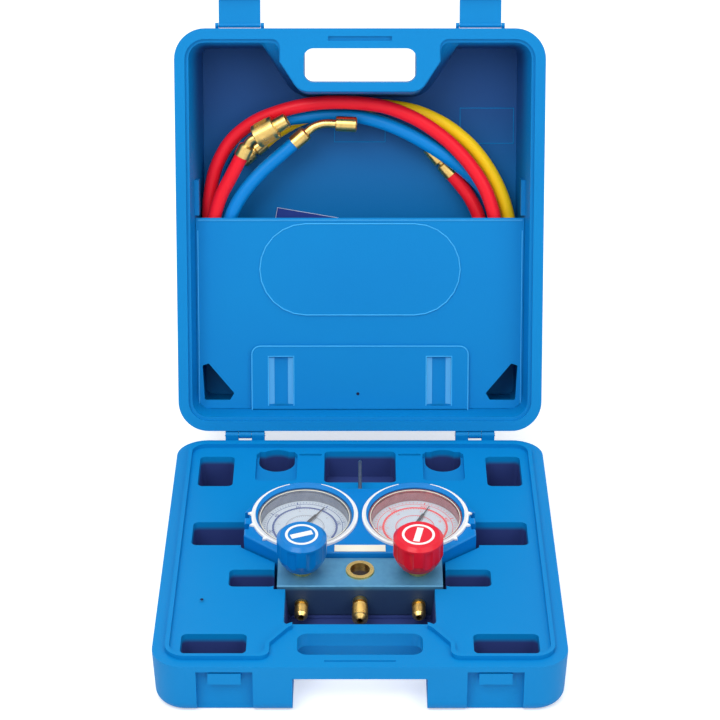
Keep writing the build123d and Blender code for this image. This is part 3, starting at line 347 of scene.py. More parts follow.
@dataclass(frozen=True)
class Skinned(Finish):
    """Finish whose colour, gloss and relief come from a shared group."""

    rough: float = 0.4
    depth: float = 0.0001
    hollow: Optional[Hollow] = None

    def skin(self, maker: Callable[[], NamedTree], values: Dict[str, object],
             strength: float) -> Tuple[bpy.types.Material, bpy.types.Node]:
        """New material that wears a shared group.

        Args:
            maker: builds the group on first use.
            values: the group's inputs apart from Colour and Roughness.
            strength: strength of the relief.

        Returns:
            The material and its Principled node.
        """
        material, shader = self.start()
        wires = Wiring(material.node_tree)
        skin = wires.add("ShaderNodeGroup", {"Colour": (*self.colour, 1.0), "Roughness": self.rough, **values},
                         node_tree=maker().tree).outputs
        colour = self.hollow.tint(wires, skin["Colour"]) if self.hollow else skin["Colour"]
        relief = wires.add("ShaderNodeBump", {"Height": skin["Height"], "Distance": self.depth,
                                              "Strength": strength})
        for label, source in (("Base Color", colour), ("Roughness", skin["Roughness"]),
                              ("Normal", relief.outputs["Normal"])):
            wires.feed(shader.inputs[label], source)
        return material, shader


@dataclass(frozen=True)
class Moulded(Skinned):
    """Moulded plastic or rubber with a fine skin grain."""

    shade: Colour = (0.0, 0.1, 0.3)
    mottle: float = 0.3
    grain: float = 900.0
    rough: float = 0.42
    depth: float = 0.00012
    coat: float = 0.0
    coat_rough: float = 0.15
    shine: float = 0.16

    def material(self) -> bpy.types.Material:
        """Builds the moulded finish.

        Returns:
            The material.
        """
        material, shader = self.skin(grain_group, {
            "Shade": (*self.shade, 1.0), "Mottle": self.mottle, "Grain": self.grain}, 0.6)
        shader.inputs["Specular IOR Level"].default_value = self.shine
        if self.coat:
            shader.inputs["Coat Weight"].default_value = self.coat
            shader.inputs["Coat Roughness"].default_value = self.coat_rough
        return material


@dataclass(frozen=True)
class Metal(Skinned):
    """Machined, plated or anodised metal."""

    tarnish: Colour = (0.35, 0.22, 0.06)
    amount: float = 0.35
    rough: float = 0.2
    depth: float = 0.00004
    metallic: float = 1.0

    def material(self) -> bpy.types.Material:
        """Builds the metal finish.

        Returns:
            The material.
        """
        material, shader = self.skin(turning_group, {"Tarnish": (*self.tarnish, 1.0), "Amount": self.amount}, 0.5)
        shader.inputs["Metallic"].default_value = self.metallic
        return material


@dataclass(frozen=True)
class Glazing(Finish):
    """Clear or tinted glass and clear plastic."""

    rough: float = 0.05
    alpha: float = 1.0
    ior: float = 1.45

    def material(self) -> bpy.types.Material:
        """Builds the glazing.

        Returns:
            The material.
        """
        material, shader = self.start()
        for label, value in (("Roughness", self.rough), ("Transmission Weight", 0.0), ("IOR", self.ior),
                             ("Alpha", self.alpha)):
            shader.inputs[label].default_value = value
        return material


AZURE: Colour = (0.0, 0.225, 0.57)
AZURE_SHADE: Colour = (0.0, 0.18, 0.5)
# The next four colours are painted shade: the tray's pockets, the lid's compartment, the lid's far end and the
# block's sides.
TRAY_SHADE_NAVY: Colour = (0.032, 0.04, 0.17)
LID_SHADE_ROYAL: Colour = (0.0, 0.15, 0.43)
SHADE_BLUE: Colour = (0.015, 0.05, 0.2)
BLOCK_SHADE_DARK: Colour = (0.02, 0.035, 0.12)
LID_IN = (0.0, math.sin(OPEN_ANGLE), math.cos(OPEN_ANGLE))
LID_OUT = (0.0, -math.cos(OPEN_ANGLE), math.sin(OPEN_ANGLE))
RIM_REACH = HINGE.dot(Vector(LID_IN))
HINGE_REACH = HINGE.dot(Vector(LID_OUT))
BLOCK_DOWN = (0.0, math.sin(TILT), -math.cos(TILT))
BLOCK_REACH = SEAT.dot(Vector(BLOCK_DOWN))

# Painted shade: the tray darkens to navy down in its pockets.
TRAY_PAINTED_SHADE = Hollow(TRAY_SHADE_NAVY, (0.0, 0.0, -1.0), -0.0425, -0.0375, 0.94)
# Painted shadow: the lid's shade colour darkens further towards the handle end, in the top corners.
LID_TOP_SHADE = Hollow(SHADE_BLUE, LID_OUT, HINGE_REACH + 0.2, HINGE_REACH + 0.32, 0.85)
# Painted shade: the lid's compartment darkens inwards from its rim.
LID_PAINTED_SHADE = Hollow(LID_SHADE_ROYAL, LID_IN, RIM_REACH + 0.004, RIM_REACH + 0.05, 0.95, LID_TOP_SHADE)
# Painted shade: the block darkens below its lit top, over its front and sides.
BLOCK_SHADE = Hollow(BLOCK_SHADE_DARK, BLOCK_DOWN, BLOCK_REACH + 0.0012, BLOCK_REACH + 0.006, 0.85)

CASE = Moulded("case_plastic", AZURE, shade=AZURE_SHADE)
TRAY = Moulded("tray_plastic", AZURE, shade=AZURE_SHADE, hollow=TRAY_PAINTED_SHADE)
LINER = Moulded("compartment_plastic", AZURE, shade=AZURE_SHADE, hollow=LID_PAINTED_SHADE)
PANEL = Moulded("panel_plastic", AZURE, shade=(0.0, 0.18, 0.54))
# Painted highlights: a lighter blue for beads along the panel's moulded edges.
EDGE_HIGHLIGHT = Moulded("painted_edge_highlight", (0.06, 0.46, 0.86), shade=(0.02, 0.36, 0.78), rough=0.3)
# Painted highlights: pale strips on the curved faces of the panel's grooves.
GROOVE_HIGHLIGHT = Moulded("painted_groove_highlight", (0.1, 0.42, 0.78), shade=(0.06, 0.36, 0.72), rough=0.35)
# Painted highlight: a lighter blue for the bead along the panel's lip.
SHEEN = Moulded("painted_sheen", (0.035, 0.32, 0.68), shade=(0.01, 0.26, 0.6), rough=0.35)
# Painted shade: near-black for the discs that stand for vent holes.
VENT_SHADE = Moulded("painted_vent_shade", (0.01, 0.01, 0.05), shade=(0.01, 0.01, 0.03), rough=0.8)
HOUSING = Moulded("housing_plastic", (0.0, 0.2, 0.58), shade=(0.0, 0.14, 0.45), rough=0.3, coat=0.2)
KNOB_BLUE = Moulded("knob_blue", (0.0, 0.19, 0.56), shade=(0.0, 0.13, 0.42), rough=0.28, coat=0.25)
KNOB_RED = Moulded("knob_red", (0.75, 0.012, 0.03), shade=(0.5, 0.0, 0.02), rough=0.28, coat=0.25)
WHITE = Moulded("white_plastic", (0.86, 0.87, 0.86), shade=(0.78, 0.78, 0.74), rough=0.35)
CREAM = Moulded("label_cream", (0.84, 0.82, 0.7), shade=(0.78, 0.75, 0.62), rough=0.45)
HOSE_SKIN = {"rough": 0.34, "grain": 500.0, "coat": 0.06}
HOSE_RED = Moulded("hose_red", (0.92, 0.012, 0.03), shade=(0.75, 0.006, 0.02), **HOSE_SKIN)
HOSE_BLUE = Moulded("hose_blue", (0.0, 0.23, 0.66), shade=(0.0, 0.17, 0.55), **HOSE_SKIN)
HOSE_YELLOW = Moulded("hose_yellow", (0.95, 0.62, 0.01), shade=(0.85, 0.5, 0.0), **HOSE_SKIN)
BRASS = Metal("brass", (0.86, 0.6, 0.2))
BLOCK = Metal("block_anodised", (0.08, 0.28, 0.46), tarnish=(0.06, 0.22, 0.4), amount=0.5, rough=0.42,
              metallic=0.3, hollow=BLOCK_SHADE)
HOOK_STEEL = Metal("hook_steel", (0.2, 0.21, 0.24), tarnish=(0.06, 0.06, 0.08), rough=0.35)
STEEL = Metal("bright_steel", (0.72, 0.73, 0.75), tarnish=(0.5, 0.5, 0.52), rough=0.22)
CAN_SILVER = Metal("gauge_can_silver", (0.3, 0.33, 0.4), tarnish=(0.16, 0.18, 0.24), rough=0.3)
# Painted reflection: the right gauge's steel can is tinted pink, as red reflects in it.
CAN_RED_REFLECTION = Metal("gauge_can_red_reflection", (0.5, 0.2, 0.22), tarnish=(0.35, 0.1, 0.12), rough=0.3)
DIAL = Moulded("dial_white", (0.52, 0.6, 0.68), shade=(0.46, 0.54, 0.64), rough=0.4, depth=0.00002)
PRINT = {"rough": 0.5, "depth": 0.00002}
INK_BLUE = Moulded("ink_blue", (0.05, 0.09, 0.28), shade=(0.04, 0.08, 0.25), **PRINT)
INK_GREY = Moulded("ink_grey", (0.28, 0.3, 0.36), shade=(0.25, 0.27, 0.33), **PRINT)
INK_RED = Moulded("ink_red", (0.8, 0.05, 0.06), shade=(0.7, 0.04, 0.05), **PRINT)
POINTER = Moulded("pointer_black", (0.02, 0.022, 0.03), shade=(0.01, 0.01, 0.015), rough=0.45)
LENS = Glazing("clear_lens", (1.0, 1.0, 1.0), alpha=0.06)
AMBER = Glazing("amber_glass", (0.03, 0.017, 0.006), rough=0.15)
CARD = Moulded("card_blue", (0.02, 0.05, 0.28), shade=(0.02, 0.04, 0.22), rough=0.4)
CARD_EDGE = Moulded("card_edge", (0.7, 0.74, 0.86), shade=(0.6, 0.65, 0.8), rough=0.5)

# Finish to the starts of the names of the nodes that wear it; the first that fits counts.
FINISHES: Dict[Finish, Tuple[str, ...]] = {
    STEEL: ("hinge_pin", "latch_pin"),
    CASE: ("base_shell", "lid_shell", "latch"),
    TRAY: ("base_tray",),
    LINER: ("lid_liner",),
    PANEL: ("hose_pocket_panel",),
    HOUSING: ("gauge_housing",),
    KNOB_BLUE: ("knob_left",),
    KNOB_RED: ("knob_right",),
    WHITE: ("knob_mark", "gauge_ring"),
    CREAM: ("label_plate",),
    HOSE_RED: ("hose_red",),
    HOSE_BLUE: ("hose_blue",),
    HOSE_YELLOW: ("hose_yellow",),
    BLOCK: ("manifold_block",),
    HOOK_STEEL: ("hook",),
    CAN_SILVER: ("gauge_case_left",),
    CAN_RED_REFLECTION: ("gauge_case_right",),
    DIAL: ("gauge_dial",),
    POINTER: ("pointer",),
    LENS: ("gauge_lens",),
    AMBER: ("sight_glass_lens",),
    BRASS: ("port", "valve", "sight_glass_ring", "ferrule", "nut"),
}


@cache
def material_of(finish: Finish) -> bpy.types.Material:
    """The finish's material, built once.

    Args:
        finish: the finish.

    Returns:
        Its material.
    """
    return finish.material()


# ---- meshes
def linked(name: str, data: bpy.types.ID) -> Piece:
    """New object at the origin, in the scene.

    Args:
        name: its name.
        data: its mesh, curve, text, lamp or camera.

    Returns:
        The object.
    """
    item = bpy.data.objects.new(name, data)
    bpy.context.scene.collection.objects.link(item)
    return item


def settled(piece: Piece, body: str) -> Piece:
    """Tells the frame which body a piece rides on.

    Args:
        piece: the piece.
        body: the body.

    Returns:
        The piece.
    """
    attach(piece, body)
    return piece


def mesh_piece(name: str, vertices: Sequence[Vector], faces: Sequence[Sequence[int]], finish: Finish) -> Piece:
    """New object at the origin from points in the row frame.

    Args:
        name: the piece's name.
        vertices: points, in metres.
        faces: indices into the points.
        finish: the piece's finish.

    Returns:
        The object.
    """
    mesh = bpy.data.meshes.new(name)
    mesh.from_pydata([tuple(point) for point in vertices], [], faces)
    mesh.update()
    mesh.materials.append(material_of(finish))
    return linked(name, mesh)


def swept_piece(name: str, sections: Sequence[Sequence[Vector]], finish: Finish) -> Piece:
    """Closed solid through a row of sections with equal numbers of corners.

    Args:
        name: the piece's name.
        sections: corners of each section, in metres; the first section's corners run anticlockwise as
            seen from outside.
        finish: the finish.

    Returns:
        The piece.
    """
    count = len(sections[0])
    points = [corner for section in sections for corner in section]
    faces = [list(range(count)), [len(points) - 1 - a for a in range(count)]]
    for low in range(0, len(points) - count, count):
        faces += [[low + a, low + count + a, low + count + (a + 1) % count, low + (a + 1) % count]
                  for a in range(count)]
    return mesh_piece(name, points, faces, finish)


def prism_piece(name: str, outline: Flat, low: float, high: float, place: Matrix, finish: Finish) -> Piece:
    """Closed prism on a placed plane.

    Args:
        name: the piece's name.
        outline: corners in millimetres, anticlockwise.
        low: lower height in millimetres.
        high: upper height in millimetres.
        place: placement of the plane.
        finish: the finish.

    Returns:
        The object.
    """
    return swept_piece(name, [[place @ (Vector((x, y, level)) * MM) for x, y in outline]
                              for level in (high, low)], finish)


def plain_piece(name: str, carrier: Piece, finish: Finish, place: Optional[Matrix] = None) -> Piece:
    """Turns a curve, a text or a modified object into a plain mesh, and drops the original.

    Args:
        name: the piece's name.
        carrier: the object that is turned into a mesh.
        finish: the finish.
        place: placement of the result, where it isn't drawn in place.

    Returns:
        The piece, at the origin.
    """
    mesh = bpy.data.meshes.new_from_object(carrier.evaluated_get(bpy.context.evaluated_depsgraph_get()))
    bpy.data.objects.remove(carrier)
    mesh.name = name
    if place is not None:
        mesh.transform(place)
    mesh.materials.clear()
    mesh.materials.append(material_of(finish))
    return linked(name, mesh)


def bead_piece(name: str, points: Sequence[Vector], radius: float, closed: bool, finish: Finish) -> Piece:
    """Thin round bead along a line; on the hose pocket's panel its pale colour is a painted highlight along a
    moulded edge.

    Args:
        name: the piece's name.
        points: the line's points, in metres.
        radius: the bead's radius, in millimetres.
        closed: whether the line closes on itself.
        finish: the finish.

    Returns:
        The bead as a plain mesh.
    """
    curve = bpy.data.curves.new(name, "CURVE")
    curve.dimensions = "3D"
    curve.bevel_depth = radius * MM
    curve.bevel_resolution = 1
    curve.use_fill_caps = True
    spline = curve.splines.new("POLY")
    spline.points.add(len(points) - 1)
    for spot, point in zip(spline.points, points):
        spot.co = (*point, 1.0)
    spline.use_cyclic_u = closed
    return plain_piece(name, linked(name, curve), finish)


def joined(name: str, pieces: Sequence[Piece]) -> Piece:
    """Joins meshes at the origin into one piece.

    Args:
        name: the joined piece's name.
        pieces: the pieces.

    Returns:
        The joined object.
    """
    with bpy.context.temp_override(active_object=pieces[0], object=pieces[0],
                                   selected_objects=list(pieces), selected_editable_objects=list(pieces)):
        bpy.ops.object.join()
    pieces[0].name = name
    pieces[0].data.name = name
    return pieces[0]


def arc_points(centre: Tuple[float, float], radius: float, start: float, end: float,
               steps: int = 12) -> List[Tuple[float, float]]:
    """Points along an arc.

    Args:
        centre: the arc's centre.
        radius: its radius.
        start: first angle in degrees.
        end: last angle in degrees.
        steps: number of spans.

    Returns:
        The points, in the centre's units.
    """
    turn = [math.radians(start + (end - start) * step / steps) for step in range(steps + 1)]
    return [(centre[0] + radius * math.cos(angle), centre[1] + radius * math.sin(angle)) for angle in turn]


# ---- geometry nodes
class CopyTree(NamedTree):
    """Geometry Nodes tree that places copies of one shape."""

    kind = "GeometryNodeTree"

    def __init__(self, name: str, sizes: Sequence[str]) -> None:
        """Makes the tree with inputs Count and Material and one for each size.

        Args:
            name: the tree's name.
            sizes: names of its lengths and angles.
        """
        inputs: Dict[str, Tuple[Socket, object]] = {"Count": (Socket.WHOLE, 1)}
        inputs.update({label: (Socket.VALUE, 0.0) for label in sizes})
        inputs["Material"] = (Socket.MATERIAL, None)
        super().__init__(name, inputs, {"Geometry": Socket.GEOMETRY})

    def vector(self, **parts: Outlet) -> Outlet:
        """Adds a vector."""
        return self.add("ShaderNodeCombineXYZ", parts).outputs[0]

    def copies(self, points: Outlet, shape: Outlet, **more: Outlet) -> None:
        """Places a copy of a shape on every point and gives them out as real, dressed mesh.

        Args:
            points: the points.
            shape: the shape.
            more: further inputs of the copies, such as Rotation.
        """
        spread = self.add("GeometryNodeInstanceOnPoints", {"Points": points, "Instance": shape, **more})
        solid = self.add("GeometryNodeRealizeInstances", {0: spread.outputs[0]})
        dressed = self.add("GeometryNodeSetMaterial", {
            "Geometry": solid.outputs[0], "Material": self.source["Material"]})
        self.feed(self.sink["Geometry"], dressed.outputs[0])


@cache
def ring_of_bars() -> CopyTree:
    """Bars that stand round a circle, each turned to it: dial graduations, knurl ridges.

    Returns:
        The tree with inputs Count, Radius, Start, Sweep, Long, Wide, High, Along and Material.
    """
    made = CopyTree("ring_of_bars", ("Radius", "Start", "Sweep", "Long", "Wide", "High", "Along"))
    source = made.source
    order = made.add("GeometryNodeInputIndex").outputs[0]
    share = made.math("DIVIDE", order, made.math("SUBTRACT", source["Count"], 1.0))
    angle = made.math("MULTIPLY_ADD", share, source["Sweep"], source["Start"])
    spot = made.vector(X=made.math("MULTIPLY", made.math("COSINE", angle), source["Radius"]),
                       Y=made.math("MULTIPLY", made.math("SINE", angle), source["Radius"]), Z=source["Along"])
    points = made.add("GeometryNodePoints", {"Count": source["Count"], "Position": spot})
    size = made.vector(X=source["Long"], Y=source["Wide"], Z=source["High"])
    bar = made.add("GeometryNodeMeshCube", {"Size": size})
    made.copies(points.outputs[0], bar.outputs["Mesh"], Rotation=made.vector(Z=angle))
    return made


@cache
def thread_crests() -> CopyTree:
    """Round crests stacked along an axis: the thread on a port.

    Returns:
        The tree with inputs Count, Radius, Pitch, Crest and Material.
    """
    made = CopyTree("thread_crests", ("Radius", "Pitch", "Crest"))
    source = made.source
    line = made.add("GeometryNodeMeshLine", {"Count": source["Count"], "Offset": made.vector(Z=source["Pitch"])})
    round_line, section = (
        made.add("GeometryNodeCurvePrimitiveCircle", {"Resolution": corners, "Radius": source[size]})
        for corners, size in ((40, "Radius"), (8, "Crest")))
    crest = made.add("GeometryNodeCurveToMesh", {
        "Curve": round_line.outputs["Curve"], "Profile Curve": section.outputs["Curve"]})
    made.copies(line.outputs[0], crest.outputs[0])
    return made


def grown(name: str, maker: Callable[[], CopyTree], sizes: Dict[str, object], place: Matrix,
          finish: Finish) -> Piece:
    """Runs a tree and keeps its result as a plain mesh in place.

    Args:
        name: the new piece's name.
        maker: builds the tree on first use.
        sizes: input name to value, in metres and radians.
        place: placement of the result.
        finish: the piece's finish.

    Returns:
        The object, at the origin.
    """
    made = maker()
    carrier = linked(f"{name}_carrier", bpy.data.meshes.new(f"{name}_carrier"))
    modifier = carrier.modifiers.new("grow", "NODES")
    modifier.node_group = made.tree
    for label, value in sizes.items():
        modifier[made.ids[label]] = value
    modifier[made.ids["Material"]] = material_of(finish)
    return plain_piece(name, carrier, finish, place)


# ---- sub-assemblies
@dataclass(frozen=True)
class Stroke:
    """Sizes of one kind of print on a dial, in millimetres."""

    inset: float
    size: float
    wide: float = 0.0


@dataclass
class GaugePart:
    """Something that one gauge carries: the gauge is left with sign -1, or right with sign 1."""

    side: str
    sign: int

    def place(self, h: float = 0.0) -> Matrix:
        """Placement on the gauge's axis."""
        return manifold_matrix(self.sign * GAUGE_X, GAUGE_Y, h)


@dataclass
class DialPrint(GaugePart):
    """Printed scales of one gauge: graduations, circles and plain numbers."""

    ink: Finish
    second_ink: Finish
    numbers: Sequence[int]
    inner_numbers: Sequence[int]
    start: float = math.radians(237.0)
    sweep: float = math.radians(-270.0)
    outer_r: float = 35.5
    middle_r: float = 28.0
    inner_r: float = 17.0
    print_h: float = DIAL_TOP + 0.05
    ink_high: float = 0.05
    mark_high: float = 0.06
    letter_deep: float = 0.02
    arc_steps: int = 96

    def scale(self, label: str, count: int, radius: float, mark: Stroke, finish: Finish) -> Piece:
        """One ring of graduations.

        Args:
            label: part of the piece's name.
            count: number of graduations.
            radius: radius that their inset counts from, in millimetres.
            mark: their sizes.
            finish: the ink.

        Returns:
            The graduations as one mesh.
        """
        return grown(f"{label}_{self.side}", ring_of_bars, {
            "Count": count, "Radius": (radius - mark.inset) * MM, "Start": self.start, "Sweep": self.sweep,
            "Long": mark.size * MM, "Wide": mark.wide * MM, "High": self.mark_high * MM, "Along": 0.0},
            self.place(self.print_h), finish)

    def circle(self, label: str, radius: float, wide: float, finish: Finish) -> Piece:
        """A printed arc along the scale's sweep.

        Args:
            label: part of the piece's name.
            radius: the arc's radius, in millimetres.
            wide: line width, in millimetres.
            finish: the ink.

        Returns:
            The arc.
        """
        place = self.place(self.print_h)
        inner, outer = radius - wide / 2, radius + wide / 2
        sections = []
        for step in reversed(range(self.arc_steps + 1)):
            angle = self.start + self.sweep * step / self.arc_steps
            sections.append([place @ (Vector((r * math.cos(angle), r * math.sin(angle), level)) * MM)
                             for r, level in ((inner, 0.0), (outer, 0.0), (outer, self.ink_high),
                                              (inner, self.ink_high))])
        return swept_piece(f"{label}_{self.side}", sections, finish)

    def numerals(self, label: str, values: Sequence[int], radius: float, letter: Stroke, finish: Finish) -> Piece:
        """Plain numbers round a scale.

        Args:
            label: part of the piece's name.
            values: the numbers, from the scale's start to its end.
            radius: radius that their inset counts from, in millimetres.
            letter: their sizes.
            finish: the ink.

        Returns:
            All the numbers as one mesh.
        """
        written = []
        for order, value in enumerate(values):
            angle = self.start + self.sweep * order / (len(values) - 1)
            name = f"number_{value}"
            text = bpy.data.curves.new(name, "FONT")
            text.body = str(value)
            text.size = letter.size * MM
            text.align_x = "CENTER"
            text.align_y = "CENTER"
            text.extrude = self.letter_deep * MM
            turn = Matrix.Rotation(angle - math.pi / 2, 4, "Z")
            outwards = Matrix.Translation((0.0, (radius - letter.inset) * MM, 0.0))
            written.append(plain_piece(name, linked(name, text), finish, self.place(self.print_h) @ turn @ outwards))
        return joined(f"{label}_{self.side}", written)

    def build(self) -> List[Piece]:
        """Prints the dial.

        Returns:
            The printed pieces.
        """
        outer, middle, inner = self.outer_r, self.middle_r, self.inner_r
        main, second = self.ink, self.second_ink
        pieces = [
            self.scale("fine_marks", 10 * (len(self.numbers) - 1) + 1, outer, Stroke(0.0, 1.6, 0.35), main),
            self.scale("main_marks", len(self.numbers), outer, Stroke(0.6, 3.2, 0.9), main),
            self.circle("outer_line", outer - 2.2, 0.5, main),
            self.numerals("main_numbers", self.numbers, outer, Stroke(5.4, 4.6), main),
            self.circle("middle_band", middle, 1.9, main),
            self.scale("middle_marks", 55, middle, Stroke(1.8, 1.4, 0.35), second),
            self.numerals("middle_numbers", self.inner_numbers, middle, Stroke(4.6, 3.2), second),
            self.circle("inner_line", inner, 0.6, second),
            self.scale("inner_marks", 41, inner, Stroke(1.1, 1.4, 0.32), second),
        ]
        return [settled(piece, "manifold") for piece in pieces]


@dataclass
class RingTeeth(GaugePart):
    """Small pointed tabs on the outer side of each white gauge ring."""

    root: float = 45.2
    tip: float = 50.0
    half: float = 3.2
    low: float = 5.25
    high: float = 6.9
    angles: Sequence[float] = (3.0, -17.0, -44.0)

    def build(self) -> List[Piece]:
        """Builds the tabs of one ring.

        Returns:
            The tabs.
        """
        tabs = []
        outline = ((self.root, -self.half), (self.tip, 0.0), (self.root, self.half))
        for order, degrees in enumerate(self.angles):
            angle = math.radians(degrees if self.sign > 0 else 180.0 - degrees)
            place = self.place() @ Matrix.Rotation(angle, 4, "Z")
            tab = prism_piece(f"ring_tab_{self.side}_{order + 1}", outline, self.low, self.high, place, WHITE)
            tabs.append(settled(tab, "manifold"))
        return tabs


@dataclass
class RingBezel(GaugePart):
    """Blue crescent inside each white ring's upper part, and the pale rim round the glass."""

    wall_r: float = 41.55
    foot_h: float = 5.05
    narrowest: float = 0.1
    widest: float = 3.3
    spread: float = 0.45
    swell: float = 0.7
    slope_r: float = 42.6
    slope_h: float = 6.2
    slope: float = 0.632
    lift: float = 0.05
    thick: float = 0.25
    steps: int = 60
    rim_r: float = 39.4
    rim_h: float = 4.2
    rim_bead: float = 0.4

    def level(self, radius: float) -> float:
        """Height of the ring's sloping face, with the crescent's clearance."""
        return self.slope_h + (radius - self.slope_r) * self.slope + self.lift

    def crescent(self) -> Piece:
        """Builds the crescent on the ring's sloping face.

        Returns:
            The crescent.
        """
        start = -math.asin(self.spread)
        sections = []
        for step in range(self.steps + 1):
            angle = start + (math.pi - 2 * start) * step / self.steps
            share = max(0.0, (math.sin(angle) + self.spread) / (1.0 + self.spread))
            outer = self.wall_r + self.narrowest + self.widest * share ** self.swell
            inner = self.wall_r - self.thick
            section = ((inner, self.foot_h), (self.wall_r, self.foot_h), (self.wall_r, self.level(self.wall_r)),
                       (outer, self.level(outer)), (outer, self.level(outer) + self.thick),
                       (inner, self.level(inner) + self.thick))
            sections.append([self.place() @ (Vector((r * math.cos(angle), r * math.sin(angle), h)) * MM)
                             for r, h in section])
        return swept_piece(f"ring_bezel_{self.side}", sections, HOUSING)

    def build(self) -> List[Piece]:
        """Builds one gauge's crescent and rim.

        Returns:
            The two pieces.
        """
        crescent = self.crescent()
        circle = [self.place() @ (Vector((x, y, self.rim_h)) * MM)
                  for x, y in arc_points((0.0, 0.0), self.rim_r, start=0, end=355, steps=71)]
        rim = bead_piece(f"glass_rim_{self.side}", circle, self.rim_bead, True, CREAM)
        return [settled(crescent, "manifold"),
                settled(rim, "manifold")]


@dataclass
class PocketCard:
    """Blank card that stands askew in the hose pocket, with a pale border line."""

    corners: Flat = ((-92.0, 128.0), (-4.0, 113.0), (10.0, 191.5), (-78.5, 206.6))
    depth: float = 64.9
    thick: float = 0.5
    border: float = 0.35

    def build(self) -> List[Piece]:
        """Builds the card and its border.

        Returns:
            The two pieces.
        """
        front, back = ([lid_point(u, v, level) for u, v in self.corners]
                       for level in (self.depth, self.depth + self.thick))
        card = swept_piece("pocket_card", [front, back], CARD)
        edge = bead_piece("pocket_card_border", front, self.border, True, CARD_EDGE)
        return [settled(piece, "lid") for piece in (card, edge)]


@dataclass
class PanelLines:
    """Pale beads and strips that paint highlights along the moulded edges and grooves of the hose pocket's panel,
    and beads in the panel's own colour round the panels sunk in the compartment's floor.
    """

    face: float = 23.5
    hat_rise: float = 3.5
    stadium: Triple = (188.0, 86.5, 153.3)
    stadium_lift: float = 0.8
    hat: Tuple[float, float, float, float] = (102.0, 80.7, 16.0, 8.0)
    floor_w: float = 66.2
    sunk: Sequence[Tuple[float, float, float, float]] = ((-24.2, 23.8, 269.1, 292.1),
                                                         (94.6, 145.2, 267.6, 301.0))
    groove: Tuple[float, float, float, float] = (74.5, 12.0, 23.5, 71.0)
    groove_r: float = 18.0
    flank: Tuple[float, float] = (6.4, 11.4)
    flank_steps: int = 4
    flank_gap: float = 0.05
    flank_thick: float = 0.3
    flank_inset: float = 1.5
    frame_line: Triple = (152.0, 17.5, 190.0)
    lip: Triple = (152.0, 199.6, 1.0)
    lip_sink: float = 0.4

    def line(self, name: str, flat: Flat, w: float, closed: bool = False, finish: Finish = EDGE_HIGHLIGHT,
             bead: float = 0.6) -> Piece:
        """One bead that rides on the lid."""
        points = [lid_point(u, v, w) for u, v in flat]
        return settled(bead_piece(name, points, bead, closed, finish), "lid")

    def groove_flank(self, name: str, middle: float, way: int) -> Piece:
        """Pale strip that follows one side of a groove's trough: a painted highlight on its curved face.

        Args:
            name: the piece's name.
            middle: the groove's middle, across the lid, in millimetres.
            way: -1 or 1 for the groove's two sides.

        Returns:
            The strip.
        """
        _, half_w, foot, top = self.groove
        first, last = self.flank
        mouth = self.face - self.hat_rise - math.sqrt(self.groove_r ** 2 - half_w ** 2)
        reaches = [first + (last - first) * step / self.flank_steps for step in range(self.flank_steps + 1)]
        floor = [(middle + way * reach, mouth + math.sqrt(self.groove_r ** 2 - reach ** 2)) for reach in reaches]
        outline = [(u, w - self.flank_thick) for u, w in floor]
        outline += [(u, w - self.flank_gap) for u, w in reversed(floor)]
        along = Matrix(((1, 0, 0, 0), (0, 0, -1, 0), (0, 1, 0, 0), (0, 0, 0, 1)))
        place = Matrix.Translation(HINGE) @ Matrix.Rotation(-OPEN_ANGLE, 4, "X") @ along
        strip = prism_piece(name, outline[::way], foot + self.flank_inset, top - self.flank_inset, place,
                            GROOVE_HIGHLIGHT)
        return settled(strip, "lid")

    def groove_side(self, word: str, sign: int) -> List[Piece]:
        """Lines of one half of the panel: its groove and its frame.

        Args:
            word: left or right.
            sign: -1 for left and 1 for right.

        Returns:
            The pieces.
        """
        middle, half_w, foot, top = self.groove
        near, far = sign * middle - half_w, sign * middle + half_w
        made = [self.line(f"groove_line_{word}", [(near, foot), (near, top), (far, top), (far, foot)],
                          self.face - self.hat_rise)]
        made += [self.groove_flank(f"groove_flank_{word}_{label}", sign * middle, way)
                 for way, label in ((-1, "low"), (1, "high"))]
        rim, rim_foot, rim_top = self.frame_line
        made.append(self.line(f"frame_line_{word}", [
            (sign * self.hat[0], rim_foot), (sign * rim, rim_foot), (sign * rim, rim_top)], self.face))
        return made

    def build(self) -> List[Piece]:
        """Builds all the lines.

        Returns:
            The pieces.
        """
        width, high, v = self.stadium
        half, radius = width / 2 - high / 2, high / 2
        ring = arc_points((half, v), radius, -90, 90) + arc_points((-half, v), radius, 90, 270)
        made = [self.line("stadium_line", ring, self.face - self.stadium_lift, True)]
        side, top, foot, corner = self.hat
        brim = [(-side, foot)] + arc_points((-side + corner, top - corner), corner, 180, 90, 6)
        brim += arc_points((side - corner, top - corner), corner, 90, 0, 6) + [(side, foot)]
        made.append(self.line("hat_line", brim, self.face - self.hat_rise))
        for word, sign in SIDES:
            made += self.groove_side(word, sign)
        # A painted highlight along the panel's lip.
        reach, lip_v, lip_bead = self.lip
        made.append(self.line("panel_lip", [(-reach, lip_v), (reach, lip_v)], self.face + self.lip_sink,
                              finish=SHEEN, bead=lip_bead))
        for order, (left, right, low, high_v) in enumerate(self.sunk):
            square = [(left, low), (right, low), (right, high_v), (left, high_v)]
            made.append(self.line(f"sunk_panel_{order + 1}", square, self.floor_w, True, PANEL))
        return made


